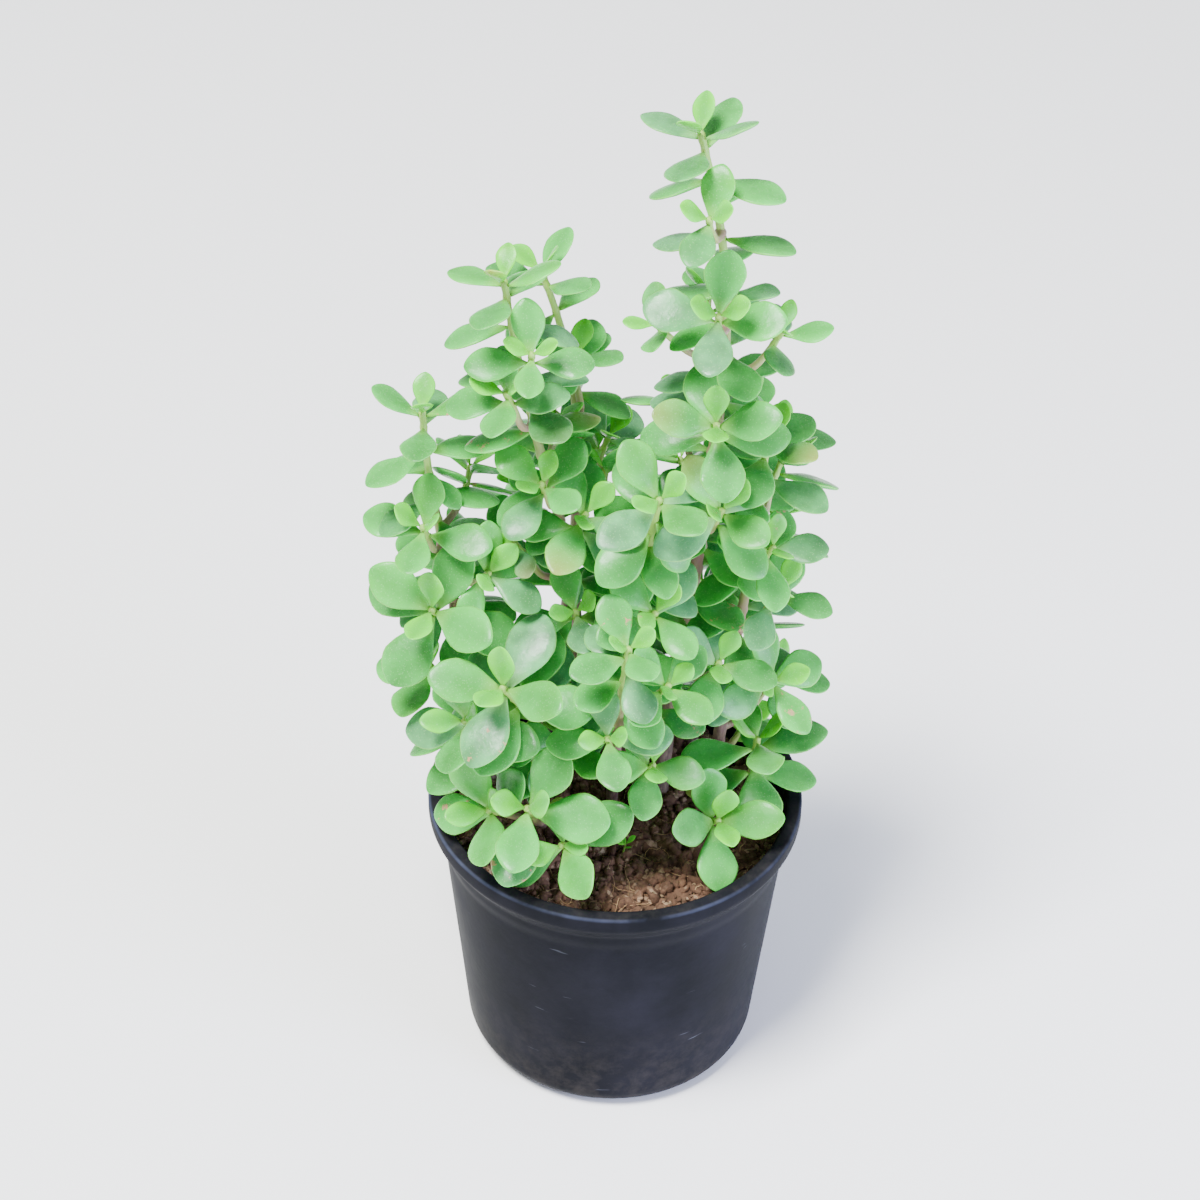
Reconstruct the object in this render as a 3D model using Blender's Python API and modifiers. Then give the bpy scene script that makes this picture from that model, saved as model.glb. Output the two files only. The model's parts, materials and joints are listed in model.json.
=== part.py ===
"""Potted jade plant: a black nursery pot, potting mix, rooted stems and their leafy side shoots.

The scene is in metres with +Z up. The origin is the centre of the pot's foot, on the surface that it
stands on, and the side that faces the viewer is -Y. The tables below are in millimetres and degrees,
and MM turns millimetres into metres.
"""

import math
import random
from collections import namedtuple

import bmesh
import bpy
from mathutils import Matrix, Vector
from mathutils.bvhtree import BVHTree

MM = 0.001
GAP = 0.3  # clearance between pieces that touch, mm

# Pot, mm. The profile runs from the top of the rim down the outside, and back up the inside.
POT_HEIGHT = 103.0
RIM_RADIUS = 62.5
RIM_BAND = 6.0  # height of the rim's outer face
RIM_INSIDE = 57.6
SHOULDER_RADIUS = 58.4  # the wall just under the rim
SHOULDER_DROP = 17.0  # from the top of the rim down to the step in the wall
STEP = 1.0  # how far the wall steps in under the shoulder
FOOT_RADIUS = 50.0
FOOT_ROUND = 9.0
WALL = 1.8
POT_STEPS = 36
DRAIN_COUNT = 5
DRAIN_RADIUS = 4.5
DRAIN_RING = 25.0  # radius of the circle that the drain holes lie on

# Potting mix, mm
SOIL_TOP = 90.0
SOIL_RISE = 2.0  # the mix is a little higher in the middle
ROOT_DEPTH = 24.0  # how deep the stems are planted
SOIL_STEPS = 24

# Side shoots, mm
SHOOT_RADIUS = 1.25
SHOOT_TIP_RADIUS = 0.9
SHOOT_STEPS = 3
SHOOT_STUB = 0.8  # how far a shoot runs straight out of its stem
SHOOT_BEND = 0.35  # how far its curve holds each end's direction, as a share of its reach
STEM_STEPS = 2  # pieces between two points of a stem's route

# A leaf, as shares of its own length: the stations of its rings, and half its width and thickness there
LEAF_STATIONS = (0.17, 0.60, 0.90)
LEAF_HALF_WIDTHS = (0.085, 0.305, 0.195)
LEAF_HALF_THICKNESSES = (0.042, 0.066, 0.046)
LEAF_DROOP = 0.06
LEAF_SIDES = 4  # corners of a ring, and rings from pole to pole
LEAF_SEAT = 0.35  # where in its stem a leaf starts, as a share of the stem's radius
LEAF_STALK = 0.3  # leaves of one shoot may share the room nearer to the stem than this
LEAF_CLEARANCE = 0.5  # how much fatter a leaf is taken to be when its place is tested, mm

# Where a leaf is tested against the pot and the mix: stations, half widths, and how far under its
# middle, as shares of its length. Then the clearances that it keeps, mm
LEAF_PROBES = ((0.3, 0.18), (0.62, 0.32), (0.9, 0.22), (1.0, 0.0))
LEAF_UNDERSIDE = -0.08
MIX_CLEARANCE = 1.0
RIM_CLEARANCE = 2.0
RIM_HEADROOM = 1.5

# Leaf pairs, counted from the tip of a shoot: length as a share of the largest leaf, angle from the
# stem in degrees, and distance from the tip in mm. Later pairs repeat the last share and angle, and
# each is one internode further down.
PAIR_SHARES = (0.58, 0.92, 1.0, 1.0)
PAIR_ANGLES = (40, 64, 82, 98)
PAIR_DISTANCES = (0.8, 2.8, 6.5)
PAIR_SPREAD = 10  # random turn of a leaf, degrees either way

# What a leaf tries when it would touch something: turn about the stem, change of angle, share of length
LEAF_CHANGES = (
    (0, 0, 1.0), (12, 0, 1.0), (-12, 0, 1.0), (0, 14, 1.0), (0, -14, 1.0), (22, 8, 0.95), (-22, 8, 0.95),
    (14, -18, 0.9), (-14, -18, 0.9), (0, 26, 0.85), (30, 0, 0.85), (-30, 0, 0.85), (0, -26, 0.8),
    (0, 0, 0.7), (25, 20, 0.7), (-25, 20, 0.7), (0, 0, 0.5),
)

# Rooted stems: name, route from just above the mix to the tip, radius at the foot and at the tip,
# turn of the tip pair, largest leaf, number of pairs, internode
Stem = namedtuple("Stem", "name route foot_radius tip_radius roll leaf pairs internode")
STEMS = (
    Stem("tall_stem", ((15, 12, 94), (17, 10, 130), (22, 7, 180), (27, 4, 235), (29, 4, 290), (25, 5, 325),
                       (19, 7, 350)),
         3.4, 1.0, 0, 22, 20, 9.5),
    Stem("right_stem", ((33, 16, 94), (35, 10, 130), (38, 4, 170), (42, 3, 210), (43, 0, 248)),
         2.6, 1.0, 40, 22, 13, 9.0),
    Stem("middle_stem", ((6, 22, 94), (5, 14, 130), (5, 4, 175), (8, -8, 212), (11, -25, 243)),
         2.8, 1.0, 30, 24, 13, 9.0),
    Stem("front_stem", ((-1, 6, 94), (0, -6, 125), (1, -22, 160), (3, -37, 195)),
         2.2, 1.0, 20, 20, 9, 8.0),
    Stem("front_left_stem", ((-20, 12, 94), (-23, 0, 125), (-30, -20, 155), (-36, -35, 176)),
         2.4, 1.0, 90, 26, 8, 8.0),
    Stem("low_left_stem", ((-24, -8, 94), (-25, -22, 108), (-28, -41, 131)),
         1.9, 1.0, 0, 27, 5, 6.0),
    Stem("left_stem", ((-42, 18, 94), (-48, 14, 130), (-54, 8, 180), (-60, 5, 225), (-62, 5, 252)),
         2.6, 1.0, 15, 21, 12, 9.0),
    Stem("slender_stem", ((-10, 26, 94), (-13, 16, 150), (-18, 8, 200), (-26, 3, 240), (-33, 3, 275),
                          (-37, 5, 300)),
         2.6, 1.0, 10, 21, 16, 9.5),
    Stem("back_stem", ((-22, 34, 94), (-19, 33, 140), (-15, 31, 195), (-17, 30, 250), (-27, 30, 288)),
         2.8, 1.0, 60, 20, 10, 10.0),
    Stem("back_right_stem", ((26, 38, 94), (30, 40, 140), (35, 38, 190), (38, 34, 238)),
         2.4, 1.0, 30, 22, 9, 9.0),
    Stem("low_right_stem", ((44, 2, 94), (45, -2, 112), (46, -6, 133)),
         1.8, 1.0, 0, 24, 5, 6.0),
    Stem("low_front_stem", ((29, -12, 94), (31, -19, 106), (34, -26, 114)),
         1.5, 1.0, 80, 24, 3, 5.0),
    Stem("low_middle_stem", ((-10, -18, 94), (-13, -31, 106), (-17, -42, 116)),
         1.6, 1.0, 45, 26, 3, 5.0),
)

# Side shoots: name, the stem that carries it, height of the joint, tip, azimuth and elevation that the
# tip faces (0 is the viewer, 90 is +X), turn of the tip pair, largest leaf, number of pairs, internode
Shoot = namedtuple("Shoot", "name parent height tip azimuth elevation roll leaf pairs internode")
SHOOTS = (
    Shoot("tall_shoot_1", "tall_stem", 318, (22, -14, 334), 0, 50, 0, 19, 2, 6),
    Shoot("tall_shoot_2", "tall_stem", 286, (26, -16, 303), 0, 45, 0, 22, 3, 6),
    Shoot("tall_shoot_3", "tall_stem", 274, (8, 3, 287), -60, 50, 70, 17, 2, 6),
    Shoot("tall_shoot_4", "tall_stem", 270, (46, 0, 288), 50, 60, 20, 17, 3, 6),
    Shoot("tall_shoot_5", "tall_stem", 246, (27, -18, 266), 0, 42, 90, 22, 4, 6),
    Shoot("tall_shoot_6", "tall_stem", 214, (30, -19, 235), 10, 45, 30, 22, 4, 6),
    Shoot("tall_shoot_7", "tall_stem", 262, (24, 26, 284), 180, 55, 20, 20, 3, 7),
    Shoot("tall_shoot_8", "tall_stem", 226, (16, 22, 248), 200, 50, 60, 20, 3, 7),
    Shoot("tall_shoot_9", "tall_stem", 152, (32, -15, 172), 10, 55, 60, 22, 3, 7),
    Shoot("right_shoot_1", "right_stem", 196, (47, -9, 214), 40, 40, 60, 20, 3, 7),
    Shoot("right_shoot_2", "right_stem", 174, (50, -6, 194), 60, 45, 20, 21, 3, 7),
    Shoot("right_shoot_3", "right_stem", 150, (50, -14, 164), 40, 40, 0, 21, 3, 7),
    Shoot("right_shoot_4", "right_stem", 206, (50, 20, 228), 130, 50, 40, 21, 3, 7),
    Shoot("right_shoot_5", "right_stem", 122, (54, 16, 142), 90, 45, 20, 22, 3, 7),
    Shoot("middle_shoot_1", "middle_stem", 176, (11, -22, 197), 10, 45, 40, 21, 3, 7),
    Shoot("middle_shoot_2", "middle_stem", 196, (-6, 20, 222), 150, 60, 20, 20, 3, 7),
    Shoot("middle_shoot_3", "middle_stem", 130, (12, -12, 150), 10, 45, 50, 20, 3, 7),
    Shoot("front_shoot_1", "front_stem", 140, (-3, -37, 158), -10, 40, 10, 20, 3, 6),
    Shoot("front_shoot_2", "front_stem", 122, (12, -31, 142), 20, 40, 70, 20, 3, 6),
    Shoot("front_shoot_3", "front_stem", 162, (16, -34, 178), 30, 45, 30, 19, 3, 6),
    Shoot("front_left_shoot_1", "front_left_stem", 138, (-49, -26, 154), -50, 40, 30, 25, 3, 7),
    Shoot("front_left_shoot_2", "front_left_stem", 122, (-16, -22, 140), 20, 45, 60, 20, 3, 7),
    Shoot("front_left_shoot_3", "front_left_stem", 112, (-45, -14, 131), -60, 40, 0, 25, 3, 7),
    Shoot("low_left_shoot_1", "low_left_stem", 108, (-41, -34, 123), -45, 35, 50, 25, 3, 6),
    Shoot("left_shoot_1", "left_stem", 200, (-62, -6, 216), -10, 45, 0, 21, 3, 7),
    Shoot("left_shoot_2", "left_stem", 174, (-59, -15, 190), -15, 40, 80, 26, 4, 6),
    Shoot("left_shoot_3", "left_stem", 186, (-41, -8, 200), 40, 50, 20, 22, 3, 7),
    Shoot("left_shoot_4", "left_stem", 150, (-54, 28, 174), 220, 50, 20, 22, 3, 7),
    Shoot("left_shoot_5", "left_stem", 206, (-48, 19, 222), 160, 55, 60, 20, 3, 7),
    Shoot("left_shoot_6", "left_stem", 134, (-62, 0, 156), -70, 40, 40, 24, 3, 7),
    Shoot("slender_shoot_1", "slender_stem", 268, (-28, -10, 284), 10, 50, 0, 19, 3, 6),
    Shoot("slender_shoot_2", "slender_stem", 250, (-36, -9, 269), -25, 45, 20, 20, 3, 6),
    Shoot("slender_shoot_3", "slender_stem", 220, (-25, -9, 236), -10, 45, 70, 20, 3, 6),
    Shoot("slender_shoot_4", "slender_stem", 206, (-11, -8, 224), 40, 45, 40, 22, 4, 6),
    Shoot("slender_shoot_5", "slender_stem", 164, (-14, -6, 184), 0, 50, 20, 20, 3, 7),
    Shoot("slender_shoot_6", "slender_stem", 186, (-34, 0, 206), -60, 45, 50, 20, 3, 7),
    Shoot("back_shoot_1", "back_stem", 236, (-15, 24, 262), 40, 55, 40, 19, 3, 7),
    Shoot("back_shoot_2", "back_stem", 206, (-5, 28, 228), 60, 50, 10, 21, 3, 7),
    Shoot("back_shoot_3", "back_stem", 176, (-34, 38, 200), 230, 50, 30, 22, 3, 7),
    Shoot("back_shoot_4", "back_stem", 190, (-8, 44, 212), 150, 50, 70, 22, 3, 7),
    Shoot("back_shoot_5", "back_stem", 140, (-18, 47, 164), 180, 45, 20, 22, 3, 7),
    Shoot("back_right_shoot_1", "back_right_stem", 184, (18, 48, 206), 200, 50, 20, 22, 3, 7),
    Shoot("back_right_shoot_2", "back_right_stem", 164, (50, 46, 186), 130, 50, 60, 22, 3, 7),
    Shoot("back_right_shoot_3", "back_right_stem", 138, (26, 54, 158), 180, 40, 20, 22, 3, 7),
    Shoot("back_right_shoot_4", "back_right_stem", 210, (50, 34, 226), 80, 50, 20, 21, 2, 7),
)

LEAF_COLOURS = ((0.19, 0.42, 0.12), (0.24, 0.50, 0.15), (0.14, 0.34, 0.10))


def material(name, colour, roughness, subsurface=0.0):
    """A Principled material with one colour and one roughness."""
    made = bpy.data.materials.new(name)
    made.use_nodes = True
    shader = made.node_tree.nodes["Principled BSDF"]
    shader.inputs["Base Color"].default_value = (*colour, 1.0)
    shader.inputs["Roughness"].default_value = roughness
    shader.inputs["Subsurface Weight"].default_value = subsurface
    return made


def facing(azimuth, elevation):
    """The unit vector of a direction given in degrees: azimuth 0 is -Y, 90 is +X."""
    turn = math.radians(azimuth)
    rise = math.radians(elevation)
    return Vector((math.sin(turn) * math.cos(rise), -math.cos(turn) * math.cos(rise), math.sin(rise)))


def smooth_route(points, steps):
    """Points of a Catmull-Rom curve through the given points, with the ends mirrored to start and stop it."""
    points = [Vector(p) for p in points]
    before = points[0] * 2 - points[1]
    after = points[-1] * 2 - points[-2]
    ring = [before, *points, after]
    route = []
    for i in range(len(points) - 1):
        a, b, c, d = ring[i:i + 4]
        for k in range(steps):
            t = k / steps
            route.append(0.5 * (2 * b + (c - a) * t + (2 * a - 5 * b + 4 * c - d) * t ** 2
                                + (3 * b - a - 3 * c + d) * t ** 3))
    route.append(points[-1])
    return route


def point_at_height(route, height):
    """The point, the direction and the share of the route where it first reaches a height."""
    for i in range(len(route) - 1):
        low, high = route[i], route[i + 1]
        if low.z <= height <= high.z:
            t = (height - low.z) / (high.z - low.z)
            return low.lerp(high, t), (high - low).normalized(), (i + t) / (len(route) - 1)
    return route[-1], (route[-1] - route[-2]).normalized(), 1.0


def point_from_tip(route, distance):
    """The point and the direction at a distance back from the tip of a route, or None past its start."""
    left = distance
    for high, low in zip(route[::-1], route[-2::-1]):
        step = (high - low).length
        if left <= step:
            return high.lerp(low, left / step), (high - low).normalized()
        left -= step
    return None


def shoot_route(shoot, parent, parent_route):
    """A side shoot's centreline: it leaves the parent square to it and bends to face its own way."""
    joint, along, share = point_at_height(parent_route, shoot.height)
    tip = Vector(shoot.tip)
    radius = parent.foot_radius + (parent.tip_radius - parent.foot_radius) * share
    outward = tip - joint
    outward = (outward - along * outward.dot(along)).normalized()
    start = joint + outward * (radius + GAP)
    reach = (tip - start).length
    rise = start + outward * (SHOOT_BEND * reach)
    fall = tip - facing(shoot.azimuth, shoot.elevation) * (SHOOT_BEND * reach)
    first = start + outward * SHOOT_STUB
    route = [start]
    for k in range(SHOOT_STEPS + 1):
        t = k / SHOOT_STEPS
        route.append(first * (1 - t) ** 3 + rise * (3 * t * (1 - t) ** 2)
                     + fall * (3 * t ** 2 * (1 - t)) + tip * t ** 3)
    return route


def leaf_matrix(point, along, spin, angle, length, radius):
    """Where a leaf goes: X runs to its tip, Z is its upper side, and its scale is its length."""
    sideways = Vector((0, 0, 1)).cross(along)
    if sideways.length < 0.05:
        sideways = Vector((1, 0, 0))
    sideways.normalize()
    out = Matrix.Rotation(math.radians(spin), 3, along) @ sideways
    tilt = math.radians(angle)
    run = along * math.cos(tilt) + out * math.sin(tilt)
    up = along * math.sin(tilt) - out * math.cos(tilt)
    side = up.cross(run)
    frame = Matrix((run, side, up)).transposed().to_4x4()
    return Matrix.Translation(point + out * (LEAF_SEAT * radius)) @ frame @ Matrix.Scale(length, 4)


def leaf_mesh(places, inflate=0.0, first_station=0.0):
    """One mesh of leaves: a sphere of three rings for each, its rings spread along the leaf and flattened."""
    mesh = bmesh.new()
    poles = (0, LEAF_SIDES)
    ring_angle = 180 / LEAF_SIDES
    stations = (0.0, *LEAF_STATIONS, 1.0)
    widths = (0.0, *LEAF_HALF_WIDTHS, 0.0)
    depths = (0.0, *LEAF_HALF_THICKNESSES, 0.0)
    for place in places:
        ball = bmesh.ops.create_uvsphere(mesh, u_segments=LEAF_SIDES, v_segments=LEAF_SIDES, radius=1.0)
        length = place.to_scale().x
        grow = inflate / length
        for vertex in ball["verts"]:
            down = math.degrees(math.acos(max(-1, min(1, vertex.co.z))))
            ring = LEAF_SIDES - round(down / ring_angle)
            turn = math.atan2(vertex.co.y, vertex.co.x)
            station = max(stations[ring], first_station)
            half_width = 0.0 if ring in poles else widths[ring] + grow
            half_depth = 0.0 if ring in poles else depths[ring] + grow
            vertex.co = place @ Vector((
                station + (grow if ring == LEAF_SIDES else 0.0),
                half_width * math.cos(turn),
                half_depth * math.sin(turn) - LEAF_DROOP * station ** 2,
            ))
    bmesh.ops.recalc_face_normals(mesh, faces=mesh.faces)
    return mesh


def tree(mesh):
    """The collision tree of a mesh, which is then freed."""
    found = BVHTree.FromBMesh(mesh)
    mesh.free()
    return found


def in_the_pot(place):
    """True if a leaf dips into the mix or touches the rim."""
    for station, width in LEAF_PROBES:
        for side in (-width, width):
            point = place @ Vector((station, side, LEAF_UNDERSIDE))
            reach = math.hypot(point.x, point.y)
            if reach < RIM_INSIDE and point.z < SOIL_TOP + SOIL_RISE + MIX_CLEARANCE:
                return True
            over_the_rim = RIM_INSIDE - RIM_CLEARANCE < reach < RIM_RADIUS + RIM_CLEARANCE
            if over_the_rim and point.z < POT_HEIGHT + RIM_HEADROOM:
                return True
    return False


def tube_tree(route, foot_radius, tip_radius):
    """The collision tree of a stem, a little fatter than the stem, from cones along its route."""
    mesh = bmesh.new()
    last = len(route) - 1
    for i in range(last):
        low, high = route[i], route[i + 1]
        start = foot_radius + (tip_radius - foot_radius) * i / last + GAP
        end = foot_radius + (tip_radius - foot_radius) * (i + 1) / last + GAP
        turn = (high - low).to_track_quat("Z", "Y").to_matrix().to_4x4()
        place = Matrix.Translation((low + high) / 2) @ turn
        bmesh.ops.create_cone(mesh, cap_ends=True, segments=8, radius1=start, radius2=end,
                              depth=(high - low).length, matrix=place)
    return tree(mesh)


def place_leaves(name, route, roll, leaf, pairs, internode, radius, taken, stems):
    """The places of one shoot's leaves. Each pair is turned a quarter from the next, and a leaf that would
    touch a leaf or a stem, the rim or the mix is turned, bent or shortened until it is clear, or left out."""
    chance = random.Random(name)
    places = []
    distance = 0.0
    for pair in range(pairs):
        late = min(pair, len(PAIR_SHARES) - 1)
        if pair < len(PAIR_DISTANCES):
            distance = PAIR_DISTANCES[pair]
        else:
            distance += internode
        found = point_from_tip(route, distance)
        if found is None:
            break
        point, along = found
        for side in (0, 180):
            spin = roll + side + 90 * (pair % 2) + chance.uniform(-PAIR_SPREAD, PAIR_SPREAD)
            angle = PAIR_ANGLES[late] + chance.uniform(-PAIR_SPREAD, PAIR_SPREAD)
            length = leaf * PAIR_SHARES[late] * chance.uniform(0.93, 1.05)
            for turn, bend, share in LEAF_CHANGES:
                place = leaf_matrix(point, along, spin + turn, angle + bend, length * share, radius)
                if in_the_pot(place):
                    continue
                whole = tree(leaf_mesh([place], LEAF_CLEARANCE))
                blade = tree(leaf_mesh([place], LEAF_CLEARANCE / 2, LEAF_STALK))
                if any(whole.overlap(other) for owner, other in stems.items() if owner != name):
                    continue
                if any(blade.overlap(other_blade) if owner == name else whole.overlap(other)
                       for owner, other, other_blade in taken):
                    continue
                taken.append((name, whole, blade))
                places.append(place)
                break
    return places


def collection(name):
    """A new collection in the scene."""
    made = bpy.data.collections.new(name)
    bpy.context.scene.collection.children.link(made)
    return made


def new_object(name, data, place, finish):
    """An object with one material, in a collection."""
    made = bpy.data.objects.new(name, data)
    place.objects.link(made)
    if finish is not None:
        data.materials.append(finish)
    return made


def turned(name, profile, steps, place, finish):
    """A solid turned about Z from an outline in mm, given as (radius, height) points."""
    mesh = bpy.data.meshes.new(name)
    points = [(radius * MM, 0.0, height * MM) for radius, height in profile]
    mesh.from_pydata(points, [(i, i + 1) for i in range(len(points) - 1)], [])
    made = new_object(name, mesh, place, finish)
    screw = made.modifiers.new("turn", "SCREW")
    screw.steps = steps
    screw.render_steps = steps
    screw.use_merge_vertices = True
    screw.merge_threshold = 0.00001
    screw.use_smooth_shade = True
    screw.use_normal_calculate = True
    return made


def arc(centre, radius, start, end, steps):
    """Points of an arc in a (radius, height) outline, with angles in degrees."""
    turns = [math.radians(start + (end - start) * k / steps) for k in range(steps + 1)]
    return [(centre[0] + radius * math.cos(a), centre[1] + radius * math.sin(a)) for a in turns]


def wall_radius(height):
    """The pot's outer radius under its shoulder, which tapers to the foot."""
    top = POT_HEIGHT - SHOULDER_DROP
    share = (height - FOOT_ROUND) / (top - FOOT_ROUND)
    return FOOT_RADIUS + (SHOULDER_RADIUS - STEP - FOOT_RADIUS) * share


def pot_profile():
    """The pot's outline, from the middle of its floor up the inside, over the rim and down to the foot."""
    step = POT_HEIGHT - SHOULDER_DROP
    band = POT_HEIGHT - RIM_BAND
    inner_foot = arc((FOOT_RADIUS - FOOT_ROUND, FOOT_ROUND), FOOT_ROUND - WALL, -90, -8, 3)
    inside = [
        (wall_radius(step) - WALL, step),
        (SHOULDER_RADIUS - WALL, step + 3),
        (RIM_INSIDE - 1.2, band),
        (RIM_INSIDE, POT_HEIGHT - 1.2),
        (RIM_INSIDE + 0.7, POT_HEIGHT),
    ]
    outside = [
        (RIM_RADIUS - 0.8, POT_HEIGHT),
        (RIM_RADIUS, POT_HEIGHT - 0.8),
        (RIM_RADIUS, band + 0.5),
        (RIM_RADIUS - 0.5, band),
        (RIM_RADIUS - 2.4, band - 1.4),
        (SHOULDER_RADIUS + 0.6, band - 5.0),
        (SHOULDER_RADIUS, step + 1.2),
        (SHOULDER_RADIUS - STEP, step),
    ]
    foot = arc((FOOT_RADIUS - FOOT_ROUND, FOOT_ROUND), FOOT_ROUND, -4, -90, 6)
    return [(0, WALL), *inner_foot, *inside, *outside, *foot, (0, 0)]


def soil_profile():
    """The mix fills the pot to a gentle dome, with a gap all round."""
    step = POT_HEIGHT - SHOULDER_DROP
    edge = SHOULDER_RADIUS - WALL - GAP
    foot = arc((FOOT_RADIUS - FOOT_ROUND, FOOT_ROUND), FOOT_ROUND - WALL - GAP, -8, -90, 3)
    top = [(0, SOIL_TOP + SOIL_RISE), (30, SOIL_TOP + SOIL_RISE * 0.8), (47, SOIL_TOP)]
    side = [(edge, SOIL_TOP - 1), (edge, step + 3), (wall_radius(step) - WALL - GAP, step)]
    return [*top, *side, *foot, (0, WALL + GAP)]


def cut(target, cutter):
    """Takes a cutter's solid away from an object."""
    modifier = target.modifiers.new(cutter.name, "BOOLEAN")
    modifier.operation = "DIFFERENCE"
    modifier.object = cutter


def rod(name, foot, radius, height, place):
    """An upright cylinder cutter standing on a point, in mm."""
    mesh = bpy.data.meshes.new(name)
    shape = bmesh.new()
    bmesh.ops.create_cone(shape, cap_ends=True, segments=12, radius1=radius * MM, radius2=radius * MM,
                          depth=height * MM)
    shape.to_mesh(mesh)
    shape.free()
    made = new_object(name, mesh, place, None)
    made.location = (foot[0] * MM, foot[1] * MM, (foot[2] + height / 2) * MM)
    made.hide_render = True
    made.display_type = "WIRE"
    return made


def tube(name, route, foot_radius, tip_radius, resolution):
    """A tapering stem's mesh, in mm: a bevelled curve made into a mesh, with its caps welded on."""
    curve = bpy.data.curves.new(name, "CURVE")
    curve.dimensions = "3D"
    curve.bevel_depth = 1.0
    curve.bevel_resolution = resolution
    curve.use_fill_caps = True
    spline = curve.splines.new("POLY")
    spline.points.add(len(route) - 1)
    last = len(route) - 1
    for i, point in enumerate(route):
        spline.points[i].co = (*point, 1.0)
        spline.points[i].radius = foot_radius + (tip_radius - foot_radius) * i / last
    holder = bpy.data.objects.new(name, curve)
    bpy.context.scene.collection.objects.link(holder)
    graph = bpy.context.evaluated_depsgraph_get()
    mesh = bpy.data.meshes.new_from_object(holder.evaluated_get(graph))
    bpy.data.objects.remove(holder)
    bpy.data.curves.remove(curve)
    shape = bmesh.new()
    shape.from_mesh(mesh)
    bmesh.ops.remove_doubles(shape, verts=shape.verts, dist=0.001)
    bmesh.ops.recalc_face_normals(shape, faces=shape.faces)
    bpy.data.meshes.remove(mesh)
    return shape


def joined(name, stem, places, parts, finish):
    """One object of a stem and its leaves, joined into one solid, in metres."""
    body = bpy.data.meshes.new(name)
    stem.to_mesh(body)
    stem.free()
    made = new_object(name, body, parts, finish)
    for place in places:
        leaf = leaf_mesh([place])
        data = bpy.data.meshes.new("leaf")
        leaf.to_mesh(data)
        leaf.free()
        other = new_object("leaf", data, parts, None)
        join = made.modifiers.new("join", "BOOLEAN")
        join.operation = "UNION"
        join.object = other
        graph = bpy.context.evaluated_depsgraph_get()
        mesh = bpy.data.meshes.new_from_object(made.evaluated_get(graph))
        made.modifiers.remove(join)
        bpy.data.objects.remove(other)
        bpy.data.meshes.remove(data)
        old = made.data
        made.data = mesh
        bpy.data.meshes.remove(old)
    made.data.name = name
    made.data.transform(Matrix.Scale(MM, 4))
    if not made.data.materials:
        made.data.materials.append(finish)
    return made


def set_origin(made, point):
    """Moves an object's origin to a point in metres and leaves its shape where it is."""
    made.data.transform(Matrix.Translation(-point))
    made.location = point


def build():
    """Makes the whole plant in its pot."""
    for old in list(bpy.data.objects):
        bpy.data.objects.remove(old)
    parts = collection("potted_jade_plant")
    cutters = collection("cutters")

    pot = turned("pot", pot_profile(), POT_STEPS, parts, material("pot_plastic", (0.023, 0.025, 0.040), 0.42))
    for k in range(DRAIN_COUNT):
        turn = 2 * math.pi * k / DRAIN_COUNT
        foot = (DRAIN_RING * math.cos(turn), DRAIN_RING * math.sin(turn), -WALL)
        cut(pot, rod(f"drain_cutter_{k + 1}", foot, DRAIN_RADIUS, 3 * WALL, cutters))

    peat = material("potting_mix", (0.16, 0.07, 0.04), 0.95)
    soil = turned("potting_mix", soil_profile(), SOIL_STEPS, parts, peat)

    routes = {}
    solids = {}
    for stem in STEMS:
        route = smooth_route(stem.route, STEM_STEPS)
        routes[stem.name] = route
        solids[stem.name] = tube_tree(route, stem.foot_radius, stem.tip_radius)
        x, y, z = stem.route[0]
        hole = (x, y, z - ROOT_DEPTH - GAP)
        cut(soil, rod(f"{stem.name}_hole", hole, stem.foot_radius + 2 * GAP, 2 * ROOT_DEPTH, cutters))
    by_name = {stem.name: stem for stem in STEMS}
    for shoot in SHOOTS:
        route = shoot_route(shoot, by_name[shoot.parent], routes[shoot.parent])
        routes[shoot.name] = route
        solids[shoot.name] = tube_tree(route, SHOOT_RADIUS, SHOOT_TIP_RADIUS)

    taken = []
    leaves = {}
    for shoot in (*SHOOTS, *STEMS):
        leaves[shoot.name] = place_leaves(
            shoot.name, routes[shoot.name], shoot.roll, shoot.leaf, shoot.pairs, shoot.internode,
            SHOOT_TIP_RADIUS, taken, solids)

    for k, stem in enumerate(STEMS):
        root = Vector(stem.route[0]) - Vector((0, 0, ROOT_DEPTH))
        body = tube(stem.name, [root, *routes[stem.name]], stem.foot_radius, stem.tip_radius, 1)
        green = material(stem.name, LEAF_COLOURS[k % len(LEAF_COLOURS)], 0.4, 0.05)
        made = joined(stem.name, body, leaves[stem.name], parts, green)
        set_origin(made, Vector(stem.route[0]) * MM)
    for k, shoot in enumerate(SHOOTS):
        body = tube(shoot.name, routes[shoot.name], SHOOT_RADIUS, SHOOT_TIP_RADIUS, 1)
        green = material(shoot.name, LEAF_COLOURS[k % len(LEAF_COLOURS)], 0.4, 0.05)
        made = joined(shoot.name, body, leaves[shoot.name], parts, green)
        set_origin(made, routes[shoot.name][0] * MM)


build()
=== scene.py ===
"""The looks of a potted jade plant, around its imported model: a black nursery pot, potting mix with loose
crumbs and fibres, and jointed succulent stems with thick oval leaves. Metres, +Z up; the viewer is at -Y."""

import json
import math
import random
from collections import namedtuple

import bmesh
import bpy
import numpy as np
from mathutils import Matrix, Vector
from mathutils.bvhtree import BVHTree

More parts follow.
